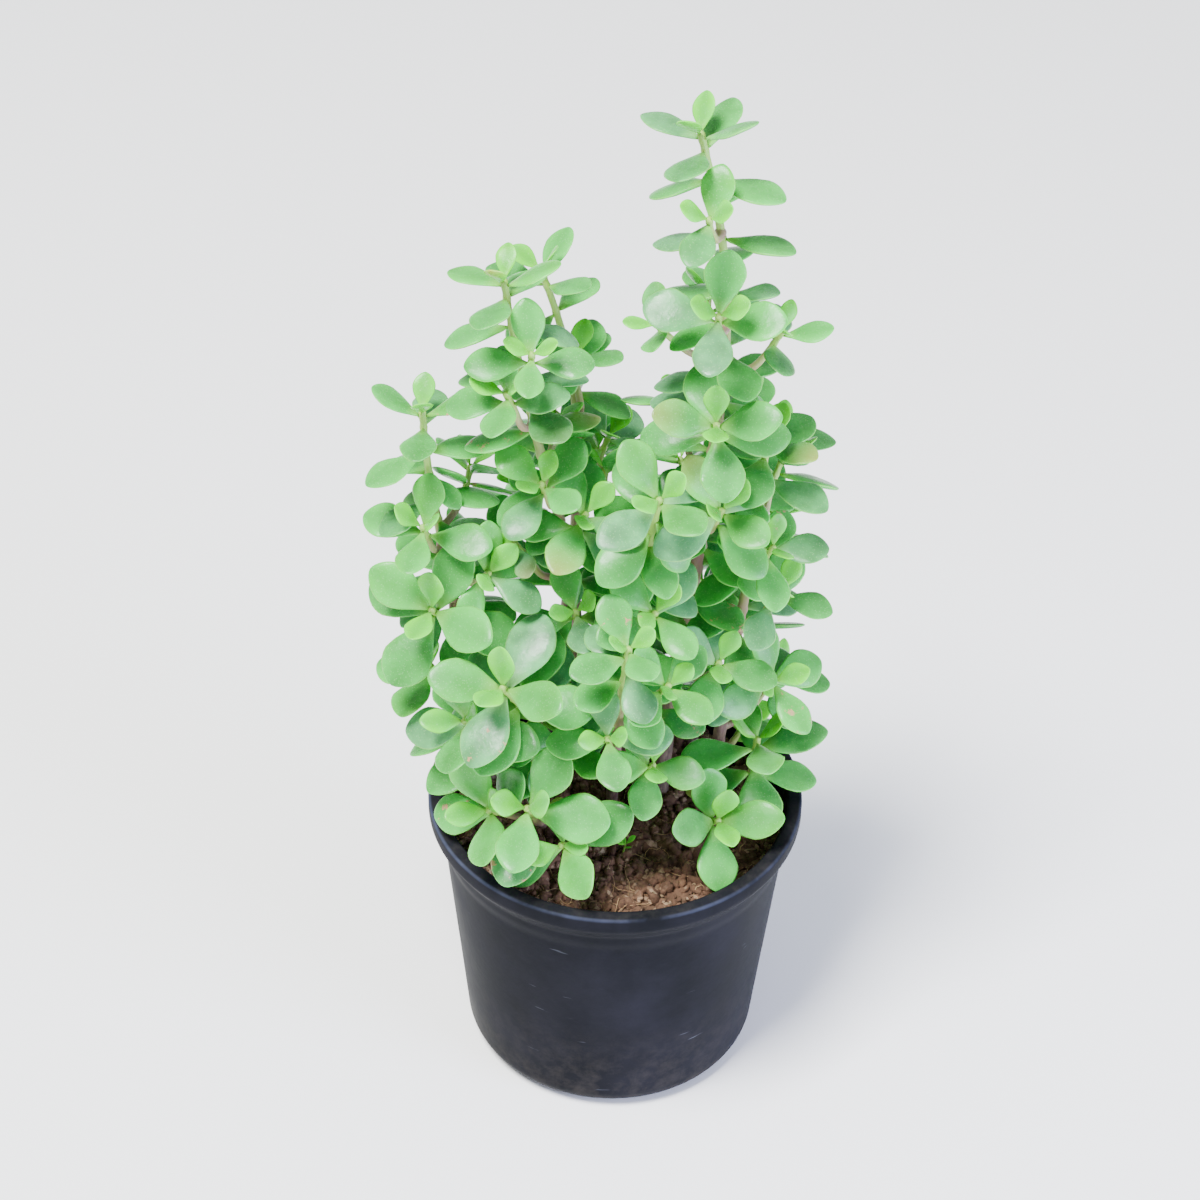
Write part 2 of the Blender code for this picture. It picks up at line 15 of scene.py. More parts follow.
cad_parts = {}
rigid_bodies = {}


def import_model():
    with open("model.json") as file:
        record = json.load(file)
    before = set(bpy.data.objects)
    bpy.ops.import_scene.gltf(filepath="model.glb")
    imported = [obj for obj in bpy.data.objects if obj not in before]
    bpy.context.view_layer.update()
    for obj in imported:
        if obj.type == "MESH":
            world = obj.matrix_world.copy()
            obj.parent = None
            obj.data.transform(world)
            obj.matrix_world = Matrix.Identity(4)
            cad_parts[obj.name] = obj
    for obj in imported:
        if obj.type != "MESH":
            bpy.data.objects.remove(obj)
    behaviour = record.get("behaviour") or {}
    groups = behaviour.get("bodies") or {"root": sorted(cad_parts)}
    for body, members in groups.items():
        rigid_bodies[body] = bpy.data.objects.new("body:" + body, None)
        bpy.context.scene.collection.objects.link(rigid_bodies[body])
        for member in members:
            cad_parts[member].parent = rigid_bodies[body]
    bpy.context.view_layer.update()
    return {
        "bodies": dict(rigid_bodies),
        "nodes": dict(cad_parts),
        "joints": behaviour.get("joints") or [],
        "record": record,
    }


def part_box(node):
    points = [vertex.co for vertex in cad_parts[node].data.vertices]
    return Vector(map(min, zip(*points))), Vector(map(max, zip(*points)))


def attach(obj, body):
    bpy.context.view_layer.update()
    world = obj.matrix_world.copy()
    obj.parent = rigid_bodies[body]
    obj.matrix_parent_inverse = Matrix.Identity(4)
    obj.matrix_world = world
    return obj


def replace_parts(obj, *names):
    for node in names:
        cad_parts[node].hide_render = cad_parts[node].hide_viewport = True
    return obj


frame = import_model()

# ---- Pot ----------------------------------------------------------------------------------------------
# A nursery pot, injection moulded in black polypropylene: a rolled rim, a step under it, a tapered wall
# and a rounded foot with drain holes. It is one turned shell, with the holes cut through its floor.

MM = 0.001
pot_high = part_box("pot")[1]
POT_HEIGHT = pot_high.z / MM
RIM_RADIUS = pot_high.x / MM
RIM_BAND = 6.0
RIM_INSIDE = RIM_RADIUS - 4.9
SHOULDER_RADIUS = RIM_RADIUS - 4.1
SHOULDER_DROP = 17.0
STEP = 1.0
FOOT_RADIUS = RIM_RADIUS - 12.5
FOOT_ROUND = 9.0
WALL = 1.8
LOW_WALL = 30.0  # height where the outline's straight wall starts
CORNER_RADIUS = 1.3
CORNER_STEPS = 5
DRAIN_COUNT = 5
DRAIN_RADIUS = 4.5
DRAIN_RING = 25.0
DRAIN_SIDES = 32
DRAIN_START = 0.1  # radians, so that no corner of a hole lies on an edge of the floor
POT_TURNS = 180


def surface(name, verts, faces, materials):
    """A smooth mesh object at the origin from whole arrays: verts in metres, and faces listed by their number
    of corners."""
    mesh = bpy.data.meshes.new(name)
    loops = np.concatenate([np.asarray(f, np.int32).ravel() for f in faces])
    counts = np.concatenate([np.full(len(f), np.shape(f)[1], np.int32) for f in faces])
    mesh.vertices.add(len(verts))
    mesh.vertices.foreach_set("co", np.asarray(verts, np.float32).ravel())
    mesh.loops.add(len(loops))
    mesh.loops.foreach_set("vertex_index", loops)
    mesh.polygons.add(len(counts))
    mesh.polygons.foreach_set("loop_start", np.concatenate([[0], np.cumsum(counts)[:-1]]).astype(np.int32))
    mesh.polygons.foreach_set("use_smooth", np.full(len(counts), True))
    mesh.update(calc_edges=True)
    mesh.validate()
    for finish in materials:
        mesh.materials.append(finish)
    made = bpy.data.objects.new(name, mesh)
    bpy.context.scene.collection.objects.link(made)
    return made


def arc(centre, radius, start, end, steps):
    """Points on a circle: centre plus radius times (cosine, sine) of evenly spaced angles in degrees."""
    turn = np.radians(np.linspace(start, end, steps + 1))
    return np.stack([centre[0] + radius * np.cos(turn), centre[1] + radius * np.sin(turn)], 1)


def turned(profile, turns, start=0.0):
    """Verts and faces of an outline turned about Z. A point is (radius cos a, radius sin a, height), with a
    counted from start. The outline's first and last points lie on the axis, where a fan of triangles closes
    each end. Faces point outwards when the outline runs down the outside."""
    profile = np.asarray(profile, float)
    turn = start + np.arange(turns) * 2 * np.pi / turns
    rings = profile[1:-1]
    x = rings[:, None, 0] * np.cos(turn)
    y = rings[:, None, 0] * np.sin(turn)
    z = np.repeat(rings[:, 1:2], turns, 1)
    verts = np.concatenate([np.stack([x, y, z], -1).reshape(-1, 3),
                            [[0, 0, profile[0, 1]], [0, 0, profile[-1, 1]]]])
    row = np.arange(len(rings) - 1)[:, None] * turns
    here = np.arange(turns)[None, :]
    after = (here + 1) % turns
    quads = np.stack([row + here, row + turns + here, row + turns + after, row + after], -1).reshape(-1, 4)
    first, end = len(verts) - 2, len(verts) - 1
    last = (len(rings) - 1) * turns
    here, after = here[0], after[0]
    fans = np.concatenate([
        np.stack([np.full(turns, first), here, after], 1),
        np.stack([np.full(turns, end), last + after, last + here], 1),
    ])
    return verts, [quads, fans]


def wall_radius(height):
    """The wall's outer radius: a straight taper from the foot's rounding up to the step."""
    top = POT_HEIGHT - SHOULDER_DROP
    return FOOT_RADIUS + (SHOULDER_RADIUS - STEP - FOOT_RADIUS) * (height - FOOT_ROUND) / (top - FOOT_ROUND)


def rounded(points, radius, steps):
    """An outline with each inner corner replaced by a curve: a quadratic Bezier that starts and ends within
    radius of the corner and has the corner as its middle control point."""
    points = np.asarray(points, float)
    out = [points[0]]
    t = np.linspace(0, 1, steps + 1)[:, None]
    for before, corner, after in zip(points[:-2], points[1:-1], points[2:]):
        to_before, to_after = before - corner, after - corner
        reach_before, reach_after = np.linalg.norm(to_before), np.linalg.norm(to_after)
        a = corner + to_before * min(radius / reach_before, 0.45)
        b = corner + to_after * min(radius / reach_after, 0.45)
        out.extend(a * (1 - t) ** 2 + corner * 2 * t * (1 - t) + b * t ** 2)
    out.append(points[-1])
    return out


def srgb(code):
    """A colour from its sRGB hex code, as linear values: channel c is ((c + 0.055) / 1.055) to the 2.4."""
    channels = [int(code[i:i + 2], 16) / 255 for i in (1, 3, 5)]
    return (*[c / 12.92 if c <= 0.04045 else ((c + 0.055) / 1.055) ** 2.4 for c in channels], 1.0)


def add(tree, kind, inputs=None, **settings):
    """Adds the shader node of a kind, with its settings. inputs maps a socket's name or number to a value, to
    another node's output, or to a node, whose first output in use is then linked."""
    made = tree.nodes.new("ShaderNode" + kind)
    for name, value in settings.items():
        setattr(made, name, value)
    for socket, value in (inputs or {}).items():
        if isinstance(value, bpy.types.Node):
            value = next(output for output in value.outputs if output.enabled)
        if isinstance(value, bpy.types.NodeSocket):
            tree.links.new(value, made.inputs[socket])
        else:
            made.inputs[socket].default_value = value
    return made


def new_material(name):
    """An empty node material, and its tree with an output and a Principled shader."""
    made = bpy.data.materials.new(name)
    made.use_nodes = True
    made.node_tree.nodes.clear()
    shader = made.node_tree.nodes.new("ShaderNodeBsdfPrincipled")
    output = made.node_tree.nodes.new("ShaderNodeOutputMaterial")
    made.node_tree.links.new(shader.outputs[0], output.inputs[0])
    return made, made.node_tree, shader


def moulded_polypropylene():
    """Black polypropylene with a little carbon blue in it, satin from the mould. Its eye is a broad soft
    sheen, broken by dried splash marks, dust that has settled on the rim and short pale scuffs."""
    made, tree, shader = new_material("moulded_polypropylene")
    place = add(tree, "TexCoord").outputs["Object"]
    # Cloudy tone of handling and dried water, in patches of about 35 mm.
    clouds = add(tree, "TexNoise", {"Vector": place, "Scale": 1 / 0.035, "Detail": 5.0, "Roughness": 0.6})
    tone = add(tree, "MapRange", {"Value": clouds, "From Min": 0.35, "From Max": 0.7})
    base = add(tree, "Mix", {0: tone, 6: srgb("#151619"), 7: srgb("#212127")}, data_type="RGBA")
    # Dust lies on what faces up and in a band of splashes round the foot.
    normal = add(tree, "NewGeometry").outputs["Normal"]
    up = add(tree, "SeparateXYZ", {0: normal}).outputs["Z"]
    height = add(tree, "SeparateXYZ", {0: place}).outputs["Z"]
    settled = add(tree, "MapRange", {"Value": up, "From Min": 0.3, "From Max": 1.0, "To Max": 0.12})
    splashed = add(tree, "MapRange", {"Value": height, "From Min": 0.045, "From Max": 0.0, "To Max": 0.22})
    dusty = add(tree, "Math", {0: settled, 1: splashed}, operation="ADD")
    grit = add(tree, "TexNoise", {"Vector": place, "Scale": 1 / 0.006, "Detail": 6.0, "Roughness": 0.7})
    gritty = add(tree, "MapRange", {"Value": grit, "From Min": 0.42, "From Max": 0.72})
    dust = add(tree, "Math", {0: dusty, 1: gritty}, operation="MULTIPLY")
    dusted = add(tree, "Mix", {0: dust, 6: base, 7: srgb("#5E5750")}, data_type="RGBA")
    # Scuffs: noise drawn out to 14 mm by 1.5 mm, with only its peaks kept.
    drawn = add(tree, "Mapping", {0: place, "Rotation": (0.0, 0.5, 0.3), "Scale": (70.0, 70.0, 650.0)})
    streaks = add(tree, "TexNoise", {"Vector": drawn, "Scale": 1.0, "Detail": 3.0})
    scuff = add(tree, "MapRange", {"Value": streaks, "From Min": 0.71, "From Max": 0.78, "To Max": 0.5})
    scuffed = add(tree, "Mix", {0: scuff, 6: dusted, 7: srgb("#5A5D68")}, data_type="RGBA")
    # Painted highlight: the outer edge of the rim gets a paler, bluer line, here and there, where the lamps
    # would glint on it.
    flat = add(tree, "Mapping", {0: place, "Scale": (1.0, 1.0, 0.0)})
    reach = add(tree, "VectorMath", {0: flat}, operation="LENGTH").outputs["Value"]
    outer = add(tree, "MapRange", {"Value": reach, "From Min": (RIM_RADIUS - 1.1) * MM,
                                   "From Max": (RIM_RADIUS - 0.5) * MM})
    top = add(tree, "MapRange", {"Value": height, "From Min": (POT_HEIGHT - 1.2) * MM,
                                 "From Max": (POT_HEIGHT - 0.5) * MM, "To Max": 0.5})
    rim_highlight_band = add(tree, "Math", {0: outer, 1: top}, operation="MULTIPLY")
    painted_rim_highlight = add(tree, "Math", {0: rim_highlight_band, 1: tone}, operation="MULTIPLY")
    colour = add(tree, "Mix", {0: painted_rim_highlight, 6: scuffed, 7: srgb("#58607A")}, data_type="RGBA")
    tree.links.new(colour.outputs[2], shader.inputs["Base Color"])
    rough = add(tree, "MapRange", {"Value": clouds, "From Min": 0.3, "From Max": 0.75, "To Min": 0.34,
                                   "To Max": 0.52})
    duller = add(tree, "Math", {0: dust, 1: 0.3, 2: rough}, operation="MULTIPLY_ADD")
    tree.links.new(duller.outputs[0], shader.inputs["Roughness"])
    # Orange peel from the mould, about 2.2 mm across, drawn coarser than life so that it shows.
    peel = add(tree, "TexNoise", {"Vector": place, "Scale": 1 / 0.0022, "Detail": 2.0})
    bump = add(tree, "Bump", {"Height": peel, "Strength": 0.12, "Distance": 0.0003})
    tree.links.new(bump.outputs[0], shader.inputs["Normal"])
    shader.inputs["IOR"].default_value = 1.45
    shader.inputs["Specular IOR Level"].default_value = 0.015
    shader.inputs["Specular Tint"].default_value = srgb("#CDD2F0")
    return made


step_height = POT_HEIGHT - SHOULDER_DROP
band_height = POT_HEIGHT - RIM_BAND
inside = rounded([
    (wall_radius(LOW_WALL) - WALL, LOW_WALL),
    (wall_radius(step_height) - WALL, step_height),
    (SHOULDER_RADIUS - WALL, step_height + 3),
    (RIM_INSIDE - 1.2, band_height),
    (RIM_INSIDE - 0.2, POT_HEIGHT - 0.2),
    (RIM_RADIUS, POT_HEIGHT),
    (RIM_RADIUS, band_height + 0.3),
    (SHOULDER_RADIUS + 0.6, band_height - 5.0),
    (SHOULDER_RADIUS, step_height + 2.2),
    (SHOULDER_RADIUS - STEP, step_height - 1.4),
    (wall_radius(LOW_WALL), LOW_WALL),
], CORNER_RADIUS, CORNER_STEPS)
floor_arc = arc((FOOT_RADIUS - FOOT_ROUND, FOOT_ROUND), FOOT_ROUND - WALL, -90, -4, 8)
foot_arc = arc((FOOT_RADIUS - FOOT_ROUND, FOOT_ROUND), FOOT_ROUND, -4, -90, 14)
floor_line = [(r, WALL) for r in (12, 24, 34)]
foot_line = [(r, 0) for r in (34, 24, 12)]
outline = [(0, WALL), *floor_line, *floor_arc, *inside, *foot_arc, *foot_line, (0, 0)]
verts, faces = turned(outline, POT_TURNS)
pot_shell = surface("pot_shell", verts * MM, faces, [moulded_polypropylene()])
for k in range(DRAIN_COUNT):
    turn = 2 * math.pi * k / DRAIN_COUNT
    rings = [(0, 2 * WALL), (DRAIN_RADIUS, 2 * WALL), (DRAIN_RADIUS, -WALL), (0, -WALL)]
    verts, faces = turned(rings, DRAIN_SIDES, DRAIN_START)
    verts += (DRAIN_RING * math.cos(turn), DRAIN_RING * math.sin(turn), 0)
    drill = surface("drill", verts * MM, faces, [])
    hole = pot_shell.modifiers.new("drain_hole", "BOOLEAN")
    hole.operation = "DIFFERENCE"
    hole.object = drill
    drilled = bpy.data.meshes.new_from_object(pot_shell.evaluated_get(bpy.context.evaluated_depsgraph_get()))
    pot_shell.modifiers.remove(hole)
    bpy.data.objects.remove(drill)
    pot_shell.data = drilled
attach(pot_shell, "root")
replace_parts(pot_shell, "pot")

# ---- Potting mix --------------------------------------------------------------------------------------
# Coco peat and bark fines, damp and reddish brown, filled to a little under the rim. The bed is one domed
# solid with a lumpy top; loose crumbs, coir fibres and pale wood bits lie on it.

SOIL_TOP = 90.0
SOIL_RISE = 2.0
BED_RADIUS = RIM_INSIDE - 1.6
BED_RINGS = 110
BED_TURNS = 260
BED_SPREAD = 0.85  # under 1 spaces the rings closer towards the edge
BED_SHOULDER = 70.0  # height where the side of the bed starts
BED_GAP = 0.4  # room between the bed and the pot
CRUMBS = 2600
FIBRES = 260
CHIPS = 30


def ripple(x, y, scale, seed, waves=24):
    """Smooth random relief between about -1 and 1: the mean of sine waves of random heading and start, whose
    lengths lie within 40 percent of scale, in the units of x and y."""
    chance = np.random.default_rng(seed)
    heading = chance.uniform(0, 2 * np.pi, waves)
    rate = 2 * np.pi / (scale * chance.uniform(0.6, 1.4, waves))
    start = chance.uniform(0, 2 * np.pi, waves)
    along = np.asarray(x)[..., None] * np.cos(heading) + np.asarray(y)[..., None] * np.sin(heading)
    return np.sin(along * rate + start).mean(-1) * math.sqrt(waves) / 2.5


def dome(x, y):
    """The height of the bed without its lumps: a low dome that falls off as the square of the reach."""
    return SOIL_TOP + SOIL_RISE * (1 - (x ** 2 + y ** 2) / BED_RADIUS ** 2)


def bed_height(x, y):
    """The height of the mix: the dome, raised by clods of 20, 8 and 3 mm, rounder above than below."""
    clods = 2.2 * (1 - np.abs(ripple(x, y, 8, 2))) + 1.2 * (1 - np.abs(ripple(x, y, 3.2, 3)))
    return dome(x, y) + 1.0 * ripple(x, y, 20, 1) + clods - 3.6


def give(piece, values):
    """Stores one number a vertex under each name, for the material to read."""
    for name, numbers in values.items():
        piece.data.attributes.new(name, "FLOAT", "POINT").data.foreach_set("value",
                                                                           np.asarray(numbers, np.float32))


def coco_peat(name, low, high, pale):
    """Damp coco peat: short dark pith with foxy red fibre in it. Matt all over, each crumb its own brown."""
    made, tree, shader = new_material(name)
    place = add(tree, "TexCoord").outputs["Object"]
    lumps = add(tree, "TexNoise", {"Vector": place, "Scale": 1 / 0.009, "Detail": 8.0, "Roughness": 0.75})
    wide = add(tree, "MapRange", {"Value": lumps, "From Min": 0.33, "From Max": 0.68})
    brown = add(tree, "Mix", {0: wide, 6: srgb(low), 7: srgb(high)}, data_type="RGBA")
    grain = add(tree, "TexVoronoi", {"Vector": place, "Scale": 1 / 0.0016, "Randomness": 1.0})
    fleck = add(tree, "SeparateColor", {0: grain.outputs["Color"]})
    some = add(tree, "MapRange", {"Value": fleck, "From Min": 0.80, "From Max": 0.95, "To Max": 0.6})
    flecked = add(tree, "Mix", {0: some, 6: brown, 7: srgb(pale)}, data_type="RGBA")
    # Painted shade: the hollows between the clods are darkened, where shade falls between them.
    hollow = add(tree, "Attribute", attribute_name="hollow").outputs["Fac"]
    painted_hollow_shade = add(tree, "MapRange", {"Value": hollow, "To Max": 0.85})
    colour = add(tree, "Mix", {0: painted_hollow_shade, 6: flecked, 7: srgb("#1D1410")}, data_type="RGBA")
    tree.links.new(colour.outputs[2], shader.inputs["Base Color"])
    fine = add(tree, "TexNoise", {"Vector": place, "Scale": 1 / 0.0012, "Detail": 6.0, "Roughness": 0.8})
    bump = add(tree, "Bump", {"Height": fine, "Strength": 0.9, "Distance": 0.0008})
    tree.links.new(bump.outputs[0], shader.inputs["Normal"])
    shader.inputs["Roughness"].default_value = 0.93
    shader.inputs["Specular IOR Level"].default_value = 0.25
    return made


def crumb_verts(count, seed):
    """The verts and faces of loose crumbs: spheres of three rings of six, each stretched to its own size
    along its own turned axes, dented by up to 38 percent, and set part way into the bed."""
    chance = np.random.default_rng(seed)
    ring = np.radians([45, 90, 135])
    turn = np.arange(6) * np.pi / 3
    unit = np.stack([np.outer(np.sin(ring), np.cos(turn)), np.outer(np.sin(ring), np.sin(turn)),
                     np.repeat(np.cos(ring)[:, None], 6, 1)], -1).reshape(-1, 3)
    unit = np.concatenate([unit, [[0, 0, 1], [0, 0, -1]]])
    dented = unit * chance.uniform(0.62, 1.15, (count, len(unit), 1))
    size = 0.6 + 3.6 * chance.beta(1.2, 3.6, (count, 1, 1))
    stretched = dented * size * chance.uniform((0.7, 0.6, 0.45), (1.5, 1.1, 0.9), (count, 1, 3))
    spun = spin_all(stretched, chance)
    reach = (BED_RADIUS - 1.5) * np.sqrt(chance.uniform(0, 1, count))
    angle = chance.uniform(0, 2 * np.pi, count)
    x, y = reach * np.cos(angle), reach * np.sin(angle)
    spun += np.stack([x, y, bed_height(x, y) + 0.25 * size[:, 0, 0]], -1)[:, None, :]
    around = np.arange(6)
    after = (around + 1) % 6
    sides = [np.stack([k + around, k + 6 + around, k + 6 + after, k + after], 1) for k in (0, 6)]
    caps = np.concatenate([np.stack([np.full(6, 18), around, after], 1),
                           np.stack([np.full(6, 19), 12 + after, 12 + around], 1)])
    shift = np.arange(count)[:, None, None] * len(unit)
    return spun.reshape(-1, 3), [(np.concatenate(sides) + shift).reshape(-1, 4),
                                 (caps + shift).reshape(-1, 3)]


def spin_all(verts, chance):
    """Turns each set of verts by its own random rotation, made from a random unit quaternion."""
    q = chance.normal(size=(len(verts), 4))
    w, x, y, z = (q / np.linalg.norm(q, axis=1, keepdims=True)).T
    turn = np.stack([
        np.stack([1 - 2 * (y * y + z * z), 2 * (x * y - z * w), 2 * (x * z + y * w)], -1),
        np.stack([2 * (x * y + z * w), 1 - 2 * (x * x + z * z), 2 * (y * z - x * w)], -1),
        np.stack([2 * (x * z - y * w), 2 * (y * z + x * w), 1 - 2 * (x * x + y * y)], -1),
    ], 1)
    return np.einsum("nij,nvj->nvi", turn, verts)


def tube_faces(tubes, points, sides):
    """Faces of closed tubes, whose verts are their rings and then the points at their start and end: a quad
    between neighbours on two rings, and a fan of triangles round each end point."""
    row = np.arange(points - 1)[:, None] * sides
    here = np.arange(sides)[None]
    after = (here + 1) % sides
    quads = np.stack([row + here, row + after, row + sides + after, row + sides + here], -1).reshape(-1, 4)
    here, after = here[0], after[0]
    start, end, last = points * sides, points * sides + 1, (points - 1) * sides
    fans = np.concatenate([np.stack([np.full(sides, start), after, here], 1),
                           np.stack([np.full(sides, end), last + here, last + after], 1)])
    shift = np.arange(tubes)[:, None, None] * (points * sides + 2)
    return [(quads + shift).reshape(-1, 4), (fans + shift).reshape(-1, 3)]


def strands(paths, radii, sides):
    """Verts and faces of many tubes. paths is (tubes, points, 3) and radii (tubes, points). A ring of each
    tube is its point plus the radius times cosine and sine along two directions square to the path, the first
    of them also square to the direction in which the whole path leans least. A fan closes each end."""
    tubes, points = paths.shape[:2]
    along = np.gradient(paths, axis=1)
    along /= np.linalg.norm(along, axis=2, keepdims=True)
    directions = np.linalg.eigh(np.einsum("tpi,tpj->tij", along, along))[1]
    side = np.cross(along, directions[:, None, :, 0])
    side /= np.linalg.norm(side, axis=2, keepdims=True)
    other = np.cross(along, side)
    turn = np.arange(sides) * 2 * np.pi / sides
    around = side[:, :, None] * np.cos(turn)[:, None] + other[:, :, None] * np.sin(turn)[:, None]
    rings = paths[:, :, None] + around * radii[:, :, None, None]
    verts = np.concatenate([rings.reshape(tubes, -1, 3), paths[:, :1], paths[:, -1:]], 1)
    return verts.reshape(-1, 3), tube_faces(tubes, points, sides)


def fibre_paths(count, seed):
    """Coir fibres: each starts on the bed, wanders 5 to 27 mm with a heading that drifts as a sine, and
    arches up by up to 2.5 mm between its ends."""
    chance = np.random.default_rng(seed)
    t = np.linspace(0, 1, 9)[None]
    length = 5 + 22 * chance.beta(1.4, 3.0, (count, 1))
    heading = chance.uniform(0, 2 * np.pi, (count, 1)) + chance.uniform(0.3, 1.6, (count, 1)) * np.sin(
        t * chance.uniform(2, 6, (count, 1)) + chance.uniform(0, 6, (count, 1)))
    step = length / 8
    x = np.cumsum(np.cos(heading) * step, 1)
    y = np.cumsum(np.sin(heading) * step, 1)
    reach = (BED_RADIUS - 4) * np.sqrt(chance.uniform(0, 1, (count, 1)))
    angle = chance.uniform(0, 2 * np.pi, (count, 1))
    x += reach * np.cos(angle) - x.mean(1, keepdims=True)
    y += reach * np.sin(angle) - y.mean(1, keepdims=True)
    out = np.maximum(np.hypot(x, y) / (BED_RADIUS - 1.5), 1.0)
    x, y = x / out, y / out
    arch = chance.uniform(0.2, 2.4, (count, 1)) * np.sin(np.pi * t) + 0.15
    radius = chance.uniform(0.08, 0.2, (count, 1)) * (1 - 0.55 * t)
    return np.stack([x, y, bed_height(x, y) + arch], -1), radius


radius = BED_RADIUS * (np.arange(1, BED_RINGS + 1) / BED_RINGS) ** BED_SPREAD
bed_line = [
    (0, SOIL_TOP),
    *[(r, SOIL_TOP) for r in radius],
    (wall_radius(BED_SHOULDER) - WALL - BED_GAP, BED_SHOULDER),
    (wall_radius(FOOT_ROUND) - WALL - BED_GAP, FOOT_ROUND),
    (FOOT_RADIUS - FOOT_ROUND, WALL + BED_GAP),
    (0, WALL + BED_GAP),
]
verts, faces = turned(bed_line, BED_TURNS)
top = np.zeros(len(verts), bool)
top[np.argsort(-verts[:, 2], kind="stable")[:BED_RINGS * BED_TURNS + 1]] = True
verts[top, 2] = bed_height(verts[top, 0], verts[top, 1])
peat = coco_peat("damp_coco_peat", "#463429", "#86654F", "#B29678")
mix_bed = surface("potting_mix_bed", verts * MM, faces, [peat])
# The painted shade of a hollow starts 0.7 mm under the dome and is at its full dark 1.9 mm further down.
depth = dome(verts[:, 0], verts[:, 1]) - verts[:, 2]
give(mix_bed, {"hollow": np.clip((depth - 0.7) / 1.9, 0, 1)})
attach(mix_bed, "root")
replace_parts(mix_bed, "potting_mix")

verts, faces = crumb_verts(CRUMBS, 11)
mix_crumbs = surface("potting_mix_crumbs", verts * MM, faces,
                     [coco_peat("coco_peat_crumbs", "#463228", "#8E6B53", "#BA9F82")])
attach(mix_crumbs, "root")

# Coir: dry coconut fibre, matt, foxy brown in places and straw in others, in patches of about 12 mm.
paths, radii = fibre_paths(FIBRES, 12)
verts, faces = strands(paths, radii, 3)
coir, tree, shader = new_material("coir_fibre")
place = add(tree, "TexCoord").outputs["Object"]
patch = add(tree, "TexNoise", {"Vector": place, "Scale": 1 / 0.012, "Detail": 2.0})
spread = add(tree, "MapRange", {"Value": patch, "From Min": 0.35, "From Max": 0.65})
straw = add(tree, "Mix", {0: spread, 6: srgb("#7A4F33"), 7: srgb("#D0B183")}, data_type="RGBA")
tree.links.new(straw.outputs[2], shader.inputs["Base Color"])
shader.inputs["Roughness"].default_value = 0.75
mix_fibres = surface("potting_mix_fibres", verts * MM, faces, [coir])
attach(mix_fibres, "root")

verts, faces = crumb_verts(CHIPS, 13)
mix_chips = surface("potting_mix_chips", verts * MM, faces,
                    [coco_peat("pale_wood_chips", "#7A624A", "#AE9474", "#CDBB9C")])
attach(mix_chips, "root")


# ---- How the plant grows --------------------------------------------------------------------------------
# The same routes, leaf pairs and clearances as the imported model, in mm: rooted stems, the side shoots
# they carry, and crossed leaf pairs, each leaf turned or shortened until it is clear of the rest.

GAP = 0.3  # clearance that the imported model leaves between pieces, mm
ROOT_DEPTH = 24.0  # how deep the stems are planted
# Side shoots, mm
SHOOT_RADIUS = 1.25
SHOOT_TIP_RADIUS = 0.9
SHOOT_STEPS = 3
SHOOT_STUB = 0.8  # how far a shoot runs straight out of its stem
SHOOT_BEND = 0.35  # how far its curve holds each end's direction, as a share of its reach
STEM_STEPS = 2  # pieces between two points of a stem's route

# A leaf, as shares of its own length: the stations of its rings, and half its width and thickness there
LEAF_STATIONS = (0.17, 0.60, 0.90)
LEAF_HALF_WIDTHS = (0.085, 0.305, 0.195)
LEAF_HALF_THICKNESSES = (0.042, 0.066, 0.046)
LEAF_DROOP = 0.06
LEAF_SIDES = 4  # corners of a ring, and rings from pole to pole
LEAF_SEAT = 0.35  # where in its stem a leaf starts, as a share of the stem's radius
LEAF_STALK = 0.3  # leaves of one shoot may share the room nearer to the stem than this
LEAF_CLEARANCE = 0.5  # how much fatter a leaf is taken to be when its place is tested, mm

# Where a leaf is tested against the pot and the mix: stations, half widths, and how far under its
# middle, as shares of its length. Then the clearances that it keeps, mm
LEAF_PROBES = ((0.3, 0.18), (0.62, 0.32), (0.9, 0.22), (1.0, 0.0))
LEAF_UNDERSIDE = -0.08
MIX_CLEARANCE = 1.0
RIM_CLEARANCE = 2.0
RIM_HEADROOM = 1.5

# Leaf pairs, counted from the tip of a shoot: length as a share of the largest leaf, angle from the
# stem in degrees, and distance from the tip in mm. Later pairs repeat the last share and angle, and
# each is one internode further down.
PAIR_SHARES = (0.58, 0.92, 1.0, 1.0)
PAIR_ANGLES = (40, 64, 82, 98)
PAIR_DISTANCES = (0.8, 2.8, 6.5)
PAIR_SPREAD = 10  # random turn of a leaf, degrees either way

# What a leaf tries when it would touch something: turn about the stem, change of angle, share of length
LEAF_CHANGES = (
    (0, 0, 1.0), (12, 0, 1.0), (-12, 0, 1.0), (0, 14, 1.0), (0, -14, 1.0), (22, 8, 0.95), (-22, 8, 0.95),
    (14, -18, 0.9), (-14, -18, 0.9), (0, 26, 0.85), (30, 0, 0.85), (-30, 0, 0.85), (0, -26, 0.8),
    (0, 0, 0.7), (25, 20, 0.7), (-25, 20, 0.7), (0, 0, 0.5),
)

